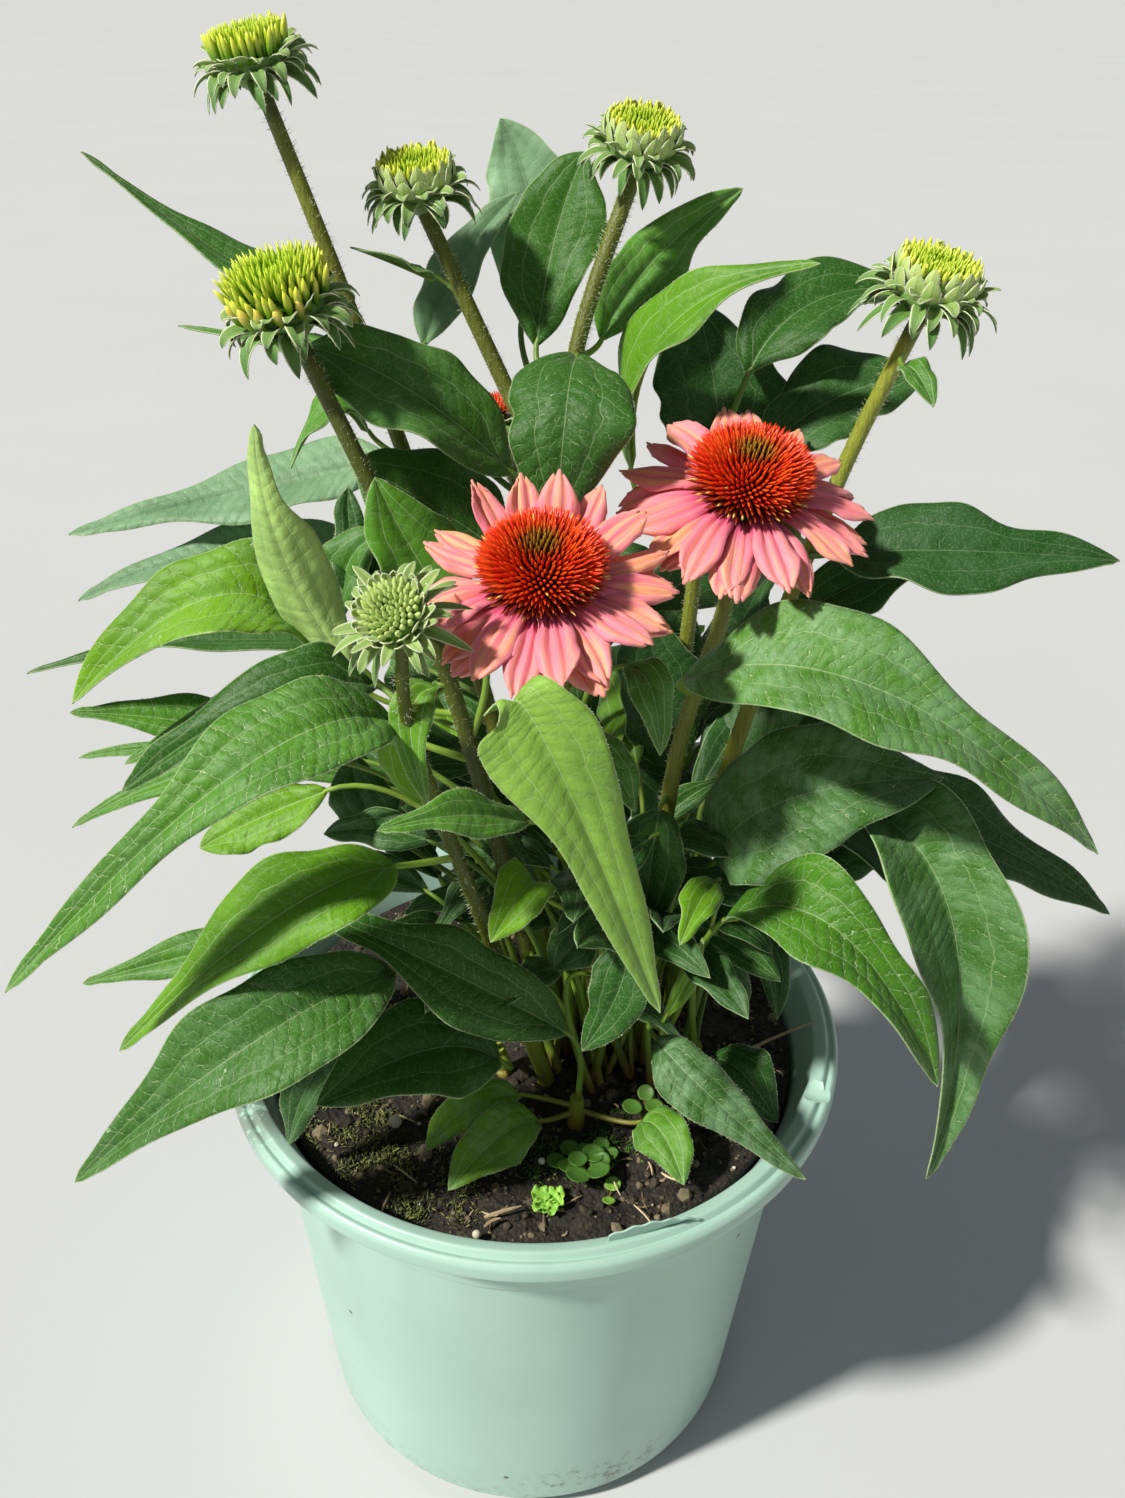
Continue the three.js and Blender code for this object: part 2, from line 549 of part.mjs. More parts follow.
function rimChip() {
  return loft([-25, -22, -19.5].map((angle, i) => {
    const depth = [0.8, 3.2, 1.2][i];
    return [
      rimPoint(angle, POT.rim - 12, POT.height + 3), rimPoint(angle, POT.rim + 3, POT.height + 3),
      rimPoint(angle, POT.rim + 3, POT.height - depth), rimPoint(angle, POT.rim - 12, POT.height - depth),
    ];
  }));
}

function soil(stemFeet) {
  const random = randomFrom(5);
  const { floor, wall, foot } = POT;
  const edge = wallRadius(SOIL.level) - wall - GAP - 0.6;
  const rings = [[new THREE.Vector3(0, 0, floor + GAP)]];
  const circle = (radius, height) => Array.from({ length: SOIL.sides }, (_, k) => {
    const angle = (k / SOIL.sides) * Math.PI * 2;
    return new THREE.Vector3(radius * Math.cos(angle), radius * Math.sin(angle), height());
  });
  rings.push(circle(wallRadius(foot) - wall - 6.5, () => floor + GAP));
  rings.push(circle(wallRadius(foot) - wall - GAP - 0.9, () => foot + 2.4));
  for (let i = SOIL.rings; i > 0; i -= 1) {
    const share = i / SOIL.rings;
    const height = SOIL.level + SOIL.mound * (1 - share ** 2);
    rings.push(circle(edge * share, () => height + SOIL.bumps * (random() - 0.5) * 2));
  }
  rings.push([new THREE.Vector3(0, 0, SOIL.level + SOIL.mound)]);
  let body = loft(rings);
  for (const [x, y] of stemFeet) {
    const low = SOIL.level - SOIL.holeDepth;
    const radius = STEM.foot + STEM.holeClearance;
    const hole = Array.from({ length: STEM.sides }, (_, k) => (k / STEM.sides) * Math.PI * 2);
    body = body.subtract(loft([low, SOIL.level + 20].map((z) => hole.map(
      (angle) => new THREE.Vector3(x + radius * Math.cos(angle), y + radius * Math.sin(angle), z)))));
  }
  return body;
}

// ---- assembly --------------------------------------------------------------------------------------------------

const plant = new THREE.Group();

function place(name, solid, colour, roughness = 0.6) {
  const material = new THREE.MeshStandardMaterial({ color: colour, roughness, metalness: 0 });
  const mesh = new THREE.Mesh(geometryFrom(solid), material);
  mesh.name = name;
  plant.add(mesh);
}

place('pot', pot(), COLOUR.pot, 0.5);
place('soil', soil(SHOOTS.map((shoot) => shoot.foot)), COLOUR.soil, 0.95);

const count = { bud: 0, bloom: 0 };

function addHead(parts, end, head) {
  if (head.kind === 'bloom') {
    count.bloom += 1;
    parts.push(seatOn(bloomSeat(head.size), end, head.face));
    place(`bloom_rays_${count.bloom}`, seatOn(bloomRays(head, count.bloom), end, head.face), COLOUR.rays);
    place(`bloom_cone_${count.bloom}`, seatOn(bloomCone(head.size), end, head.face), COLOUR.cone);
    return;
  }
  parts.push(seatOn(involucre(head.size, BUD.bracts), end, head.face));
  if (head.kind === 'bud') count.bud += 1;
  const name = head.kind === 'bud' ? `bud_florets_${count.bud}` : 'young_cone';
  place(name, seatOn(budFlorets(head), end, head.face), head.kind === 'bud' ? COLOUR.florets : COLOUR.orange);
}

SHOOTS.forEach((shoot, s) => {
  const main = stemCurve(shoot.foot, shoot.via, shoot.top);
  const parts = [tube(main, STEM.foot, shoot.slim ?? STEM.top, shoot.stub ? 1 : STEM.steps, true)];
  const forks = (shoot.forks ?? []).map((fork) => {
    const start = pointAtHeight(main, fork.from);
    const curve = new THREE.CatmullRomCurve3([start, ...fork.via.map(vec), vec(fork.top)], false, 'centripetal');
    parts.push(tube(curve, STEM.top, STEM.top, 3, false));
    addHead(parts, vec(fork.top), fork.head);
    return curve;
  });
  shoot.leaves.forEach((row, i) => parts.push(leafSolid(pointAtHeight(main, row[0]), row, s + i)));
  (shoot.forkLeaves ?? []).forEach((row, i) => parts.push(leafSolid(pointAtHeight(forks[0], row[0]), row, s + i)));
  if (shoot.head) addHead(parts, vec(shoot.top), shoot.head);
  place(shoot.name, fuse(parts), s % 2 ? COLOUR.leafPale : COLOUR.leaf);
});

export default plant;
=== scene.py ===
# %% [markdown]
# # A coneflower plant in its nursery pot
# The plant has eight leafy stems, four tufts of stalked leaves, six green buds, a young head and two open
# flowers. All of it stands in a mint-green moulded pot of peat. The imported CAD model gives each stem, leaf and
# head its place and size, in coarse facets. Here every node gets a finer piece of the same form, and then what
# only Blender can show: veins, hairs, moss, crumbs of peat and the colours.

# %% The frame, the units and the tools
import math
from functools import partial

import bpy
import numpy as np
from mathutils import Matrix, Vector, noise


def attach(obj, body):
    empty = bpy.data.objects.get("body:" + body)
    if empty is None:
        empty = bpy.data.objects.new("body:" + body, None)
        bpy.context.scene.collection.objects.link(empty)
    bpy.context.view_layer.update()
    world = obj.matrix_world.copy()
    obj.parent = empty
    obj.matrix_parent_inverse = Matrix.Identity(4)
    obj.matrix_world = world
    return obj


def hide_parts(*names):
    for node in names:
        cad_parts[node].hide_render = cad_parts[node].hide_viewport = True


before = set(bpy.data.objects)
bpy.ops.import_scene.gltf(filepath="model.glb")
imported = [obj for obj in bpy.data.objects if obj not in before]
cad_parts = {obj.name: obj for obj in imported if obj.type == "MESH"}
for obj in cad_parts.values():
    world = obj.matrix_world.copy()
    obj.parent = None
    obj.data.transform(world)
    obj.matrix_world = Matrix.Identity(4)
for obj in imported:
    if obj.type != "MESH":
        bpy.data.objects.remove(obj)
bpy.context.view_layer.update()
bpy.ops.object.select_all(action="DESELECT")
MM = 0.001
TURN = 2 * math.pi

# %% [markdown]
# ## Camera and light
# The camera looks down on the plant from a little above the flowers, close enough for strong perspective. It is
# set by its three axes, which come from the angles of yaw, pitch and roll. A large soft sun stands to the left,
# as a key light through a studio window, and a pale sky fills the shade between the leaves.

# %% Camera
CAMERA_PLACE = Vector((1, -340, 486)) * MM
YAW, PITCH, ROLL = (math.radians(angle) for angle in (1.1, 31.5, 1.4))
forward = Vector((math.sin(YAW) * math.cos(PITCH), math.cos(YAW) * math.cos(PITCH), -math.sin(PITCH)))
level_right = forward.cross(Vector((0, 0, 1))).normalized()
level_up = level_right.cross(forward)
right = level_right * math.cos(ROLL) + level_up * math.sin(ROLL)
up = level_up * math.cos(ROLL) - level_right * math.sin(ROLL)
bpy.ops.object.camera_add(location=CAMERA_PLACE)
camera = bpy.context.object
camera.matrix_world = Matrix.Translation(CAMERA_PLACE) @ Matrix((right, up, -forward)).transposed().to_4x4()
camera.data.sensor_fit = "VERTICAL"
camera.data.sensor_height = 36
camera.data.lens = 31.24
camera.data.clip_start = 0.01
bpy.context.scene.camera = camera

# %% Light
SUN_FROM = Vector((-0.68, -0.38, 0.8))
bpy.ops.object.light_add(type="SUN")
sun = bpy.context.object
sun.rotation_euler = SUN_FROM.to_track_quat("Z", "Y").to_euler()
sun.data.energy = 5.1
sun.data.angle = math.radians(4.5)
sun.data.color = (1.0, 0.965, 0.9)

sky = bpy.data.worlds.new("pale_sky")
sky.use_nodes = True
sky.node_tree.nodes["Background"].inputs["Color"].default_value = (0.9, 0.95, 1.0, 1)
sky.node_tree.nodes["Background"].inputs["Strength"].default_value = 0.22
bpy.context.scene.world = sky
bpy.context.scene.view_settings.view_transform = "Standard"

# %% [markdown]
# ## Helpers for materials
# Every finish here is a Principled shader fed by textures. One function turns a hex colour as a painter names it
# into the linear numbers that Blender wants, and one adds a node: it looks the node up in a table by a short
# name, changes its settings, and gives its inputs a value, a colour or a link to another node.

# %% Helpers for materials
# short name: Blender's name, the inputs in the order that they are given in, the output that is used, settings
NODES = {
    "place": ("TexCoord", (), "Object", {}),
    "fact": ("Attribute", (), "Vector", {}),
    "split": ("SeparateXYZ", (0,), None, {}),
    "squeezed": ("Mapping", ("Vector", "Scale"), 0, {}),
    "scaled": ("VectorMath", (0, 1), 0, {"operation": "MULTIPLY"}),
    "moved": ("VectorMath", (0, 1), 0, {"operation": "ADD"}),
    "from": ("VectorMath", (0, 1), 0, {"operation": "SUBTRACT"}),
    "length": ("VectorMath", (0,), "Value", {"operation": "LENGTH"}),
    "noise": ("TexNoise", ("Vector", "Scale", "Detail", "Roughness"), 0, {}),
    "cells": ("TexVoronoi", ("Vector", "Scale"), "Distance", {}),
    "mix": ("Mix", (0, 6, 7), 2, {"data_type": "RGBA"}),
    "step": ("MapRange", (0, 1, 2, 3, 4), 0, {"interpolation_type": "SMOOTHSTEP"}),
    "bump": ("Bump", ("Height", "Strength", "Distance"), 0, {}),
    **{short: ("Math", (0, 1, 2), 0, {"operation": operation}) for short, operation in (
        ("plus", "ADD"), ("minus", "SUBTRACT"), ("times", "MULTIPLY"), ("over", "DIVIDE"),
        ("scale_shift", "MULTIPLY_ADD"),
        ("size", "ABSOLUTE"), ("larger", "MAXIMUM"), ("zigzag", "PINGPONG"))},
}


def colour(code):
    """The linear colour for an sRGB hex code such as "#a9cbb9"."""
    parts = [int(code[i:i + 2], 16) / 255 for i in (1, 3, 5)]
    return (*[p / 12.92 if p <= 0.04045 else ((p + 0.055) / 1.055) ** 2.4 for p in parts], 1.0)


def add_node(material, kind, *values, **settings):
    """Adds a node of the table with its settings and its values or links, and gives the output that is used."""
    name, inputs, output, fixed = NODES[kind]
    made = material.node_tree.nodes.new("ShaderNode" + name)
    for setting, value in {**fixed, **settings}.items():
        setattr(made, setting, value)
    for place, value in zip(inputs, values):
        if isinstance(value, bpy.types.NodeSocket):
            material.node_tree.links.new(value, made.inputs[place])
        else:
            made.inputs[place].default_value = colour(value) if isinstance(value, str) else value
    return made.outputs if output is None else made.outputs[output]


def new_material(name, roughness, **sockets):
    """A material whose plain values are set on its Principled shader, and a short way to add nodes to it."""
    material = bpy.data.materials.new(name)
    material.use_nodes = True
    shader = material.node_tree.nodes["Principled BSDF"]
    for socket, value in {"roughness": roughness, **sockets}.items():
        shader.inputs[socket.replace("_", " ").title().replace("Ior", "IOR")].default_value = value
    return material, partial(add_node, material)


def dress(material, body, relief=None, strength=0.5, depth=0.0005):
    """Links a material's colour and, where it has one, its relief, whose depth is in metres."""
    shader = material.node_tree.nodes["Principled BSDF"]
    material.node_tree.links.new(body, shader.inputs["Base Color"])
    if relief:
        material.node_tree.links.new(add_node(material, "bump", relief, strength, depth), shader.inputs["Normal"])
    return material


# %% [markdown]
# ## Helpers for shapes
# A plant repeats a few shapes hundreds of times: leaf, bract, floret, spine, hair. Each is modelled once with
# Blender's own tools as a flat or upright blank, read into arrays, and taken away again. A copy is the blank's
# points moved to their place by a formula, and all the copies that grow together are written into one mesh.
# That is far quicker than thousands of objects, and each copy still has its own shape.

# %% Blanks
def take_blank():
    """Reads the active object's mesh as a blank and removes the object."""
    pattern = bpy.context.object
    mesh = pattern.data
    points = np.empty(len(mesh.vertices) * 3, np.float32)
    corners = np.empty(len(mesh.loops), np.int32)
    sizes = np.empty(len(mesh.polygons), np.int32)
    mesh.vertices.foreach_get("co", points)
    mesh.loops.foreach_get("vertex_index", corners)
    mesh.polygons.foreach_get("loop_total", sizes)
    bpy.data.objects.remove(pattern)
    return {"points": points.reshape(-1, 3).astype(float), "corners": corners, "sizes": sizes}


def sheet_blank(across, along):
    """A flat sheet with u from -1 to 1 across and v from 0 to 1 along."""
    bpy.ops.mesh.primitive_grid_add(x_subdivisions=across, y_subdivisions=along, size=2)
    blank = take_blank()
    blank["points"][:, 1] = (blank["points"][:, 1] + 1) / 2
    return blank


def edit_edges(mesh, chosen):
    """Opens the active mesh in edit mode with just these edges selected."""
    bpy.ops.object.mode_set(mode="EDIT")
    bpy.ops.mesh.select_mode(type="EDGE")
    bpy.ops.mesh.select_all(action="DESELECT")
    bpy.ops.object.mode_set(mode="OBJECT")
    mesh.edges.foreach_set("select", np.array(chosen))
    bpy.ops.object.mode_set(mode="EDIT")


def spindle_blank(sides, radii):
    """An upright spike from z = 0 to 1: a cylinder with its long edges cut, each ring drawn in to its radius."""
    bpy.ops.mesh.primitive_cylinder_add(vertices=sides, radius=1, depth=1, location=(0, 0, 0))
    mesh = bpy.context.object.data
    height = [vertex.co.z for vertex in mesh.vertices]
    edit_edges(mesh, [abs(height[edge.vertices[0]] - height[edge.vertices[1]]) > 0.5 for edge in mesh.edges])
    bpy.ops.mesh.subdivide(number_cuts=len(radii) - 2)
    bpy.ops.object.mode_set(mode="OBJECT")
    blank = take_blank()
    points = blank["points"]
    points[:, 2] += 0.5
    ring = np.round(points[:, 2] * (len(radii) - 1)).astype(int).clip(0, len(radii) - 1)
    points[:, :2] *= np.array(radii, float)[ring][:, None]
    return blank


# %% Directions, turns and copies
def unit(vectors):
    vectors = np.asarray(vectors, float)
    return vectors / np.maximum(np.linalg.norm(vectors, axis=-1, keepdims=True), 1e-9)


def turned(first, second, angle):
    """A pair of coordinates or directions after a turn by an angle in radians."""
    c, s = np.cos(angle), np.sin(angle)
    return first * c - second * s, first * s + second * c


def stamped(blank, bases, axes, widths, lengths, turns=0.0):
    """Copies of an upright blank at these bases, each along its axis, as one larger blank and its points."""
    bases, axes = np.asarray(bases, float), unit(axes)
    count = len(bases)
    widths, lengths = np.broadcast_to(widths, count), np.broadcast_to(lengths, count)
    guide = np.where(np.abs(axes[:, 2:]) < 0.9, [[0, 0, 1.0]], [[1.0, 0, 0]])
    side = unit(np.cross(axes, guide))
    other, side = turned(np.cross(axes, side), side, np.broadcast_to(turns, count)[:, None])
    x, y, z = blank["points"].T
    placed = (bases[:, None] + (widths[:, None] * x)[..., None] * side[:, None]
              + (widths[:, None] * y)[..., None] * other[:, None]
              + (lengths[:, None] * z)[..., None] * axes[:, None])
    steps = np.arange(count) * len(blank["points"])
    many = {
        "points": np.tile(blank["points"], (count, 1)),
        "corners": (blank["corners"][None] + steps[:, None]).ravel(),
        "sizes": np.tile(blank["sizes"], count),
    }
    return many, placed.reshape(-1, 3)


# %% From parts to finished pieces
def assemble(name, parts, materials, smooth=True):
    """One object from many parts. A part is (blank, its placed points in mm, material number, facts), and the
    facts are per point: blade = (u, v, half width in mm), flat = place on the flat leaf in mm, tone = (shade,
    relief, chance)."""
    mesh = bpy.data.meshes.new(name)
    points = np.concatenate([placed for _, placed, _, _ in parts]).astype(np.float32) * MM
    starts = np.cumsum([0] + [len(placed) for _, placed, _, _ in parts])
    corners = np.concatenate([part[0]["corners"] + start for part, start in zip(parts, starts)]).astype(np.int32)
    sizes = np.concatenate([blank["sizes"] for blank, _, _, _ in parts])
    numbers = np.concatenate([np.full(len(blank["sizes"]), number, np.int32) for blank, _, number, _ in parts])
    mesh.vertices.add(len(points))
    mesh.vertices.foreach_set("co", points.ravel())
    mesh.loops.add(len(corners))
    mesh.loops.foreach_set("vertex_index", corners)
    mesh.polygons.add(len(sizes))
    mesh.polygons.foreach_set("loop_start", (np.cumsum(sizes) - sizes).astype(np.int32))
    for material in materials:
        mesh.materials.append(material)
    mesh.polygons.foreach_set("material_index", numbers)
    mesh.polygons.foreach_set("use_smooth", np.full(len(sizes), smooth))
    mesh.update(calc_edges=True)
    for fact in ("blade", "flat", "tone"):
        values = [np.broadcast_to(facts.get(fact, (0, 0, 0)), placed.shape) for _, placed, _, facts in parts]
        attribute = mesh.attributes.new(fact, "FLOAT_VECTOR", "POINT")
        attribute.data.foreach_set("vector", np.concatenate(values).astype(np.float32).ravel())
    piece = bpy.data.objects.new(name, mesh)
    bpy.context.scene.collection.objects.link(piece)
    return piece


def choose(*objects):
    bpy.ops.object.select_all(action="DESELECT")
    for chosen in objects:
        chosen.select_set(True)
    bpy.context.view_layer.objects.active = objects[0]


def thicken(piece, thickness, under=0):
    """Gives a sheet its thickness downwards. The new face takes the material that is `under` slots on."""
    choose(piece)
    wall = piece.modifiers.new("thickness", "SOLIDIFY")
    wall.thickness = thickness * MM
    wall.offset = -1
    wall.use_even_offset = False
    wall.material_offset = wall.material_offset_rim = under
    bpy.ops.object.modifier_apply(modifier=wall.name)
    return piece


def joined(name, *objects):
    choose(*objects)
    if len(objects) > 1:
        bpy.ops.object.join()
    piece = bpy.context.object
    piece.name = piece.data.name = name
    return piece


def hand_over(piece, slot, *nodes):
    """The piece rides on the part's one body and stands for these CAD nodes, which are hidden. The slot is not used."""
    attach(piece, "root")
    if nodes:
        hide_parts(*nodes)
    piece.data.calc_loop_triangles()
    print(f"{piece.name}: {len(piece.data.loop_triangles)} triangles")


# %% [markdown]
# ## The plan of the plant
# Each shoot has its foot in the soil, the points that its stem passes, its top, and its leaves in order. A leaf
# row holds the height at which it leaves the stem, the blade's base, the middle of its rib, its tip, its width
# and its roll, and then two numbers for the eye: its shade, from 0 for dark blue-green to 1 for young yellow-green,
# and how much its veins stand out. The shade is partly the leaf's own green and partly painted light and shade:
# some leaves get paler greens to stand for the sun on them, and some darker ones to stand for shadow. Below 0
# it gives a grey-green, a painted sheen, and above 1 a pale young green, painted light. Some rows end with what
# is special to a leaf: how far its halves fold up, a narrow hump where it bends over its own base, how deep its
# waist is, and how much painted grey sheen it carries.

# %% The plan of the plant
SOIL_LEVEL, SOIL_MOUND, COLLAR = 160, 4, 6
STEM_FOOT, STEM_TOP = 2.8, 2.15

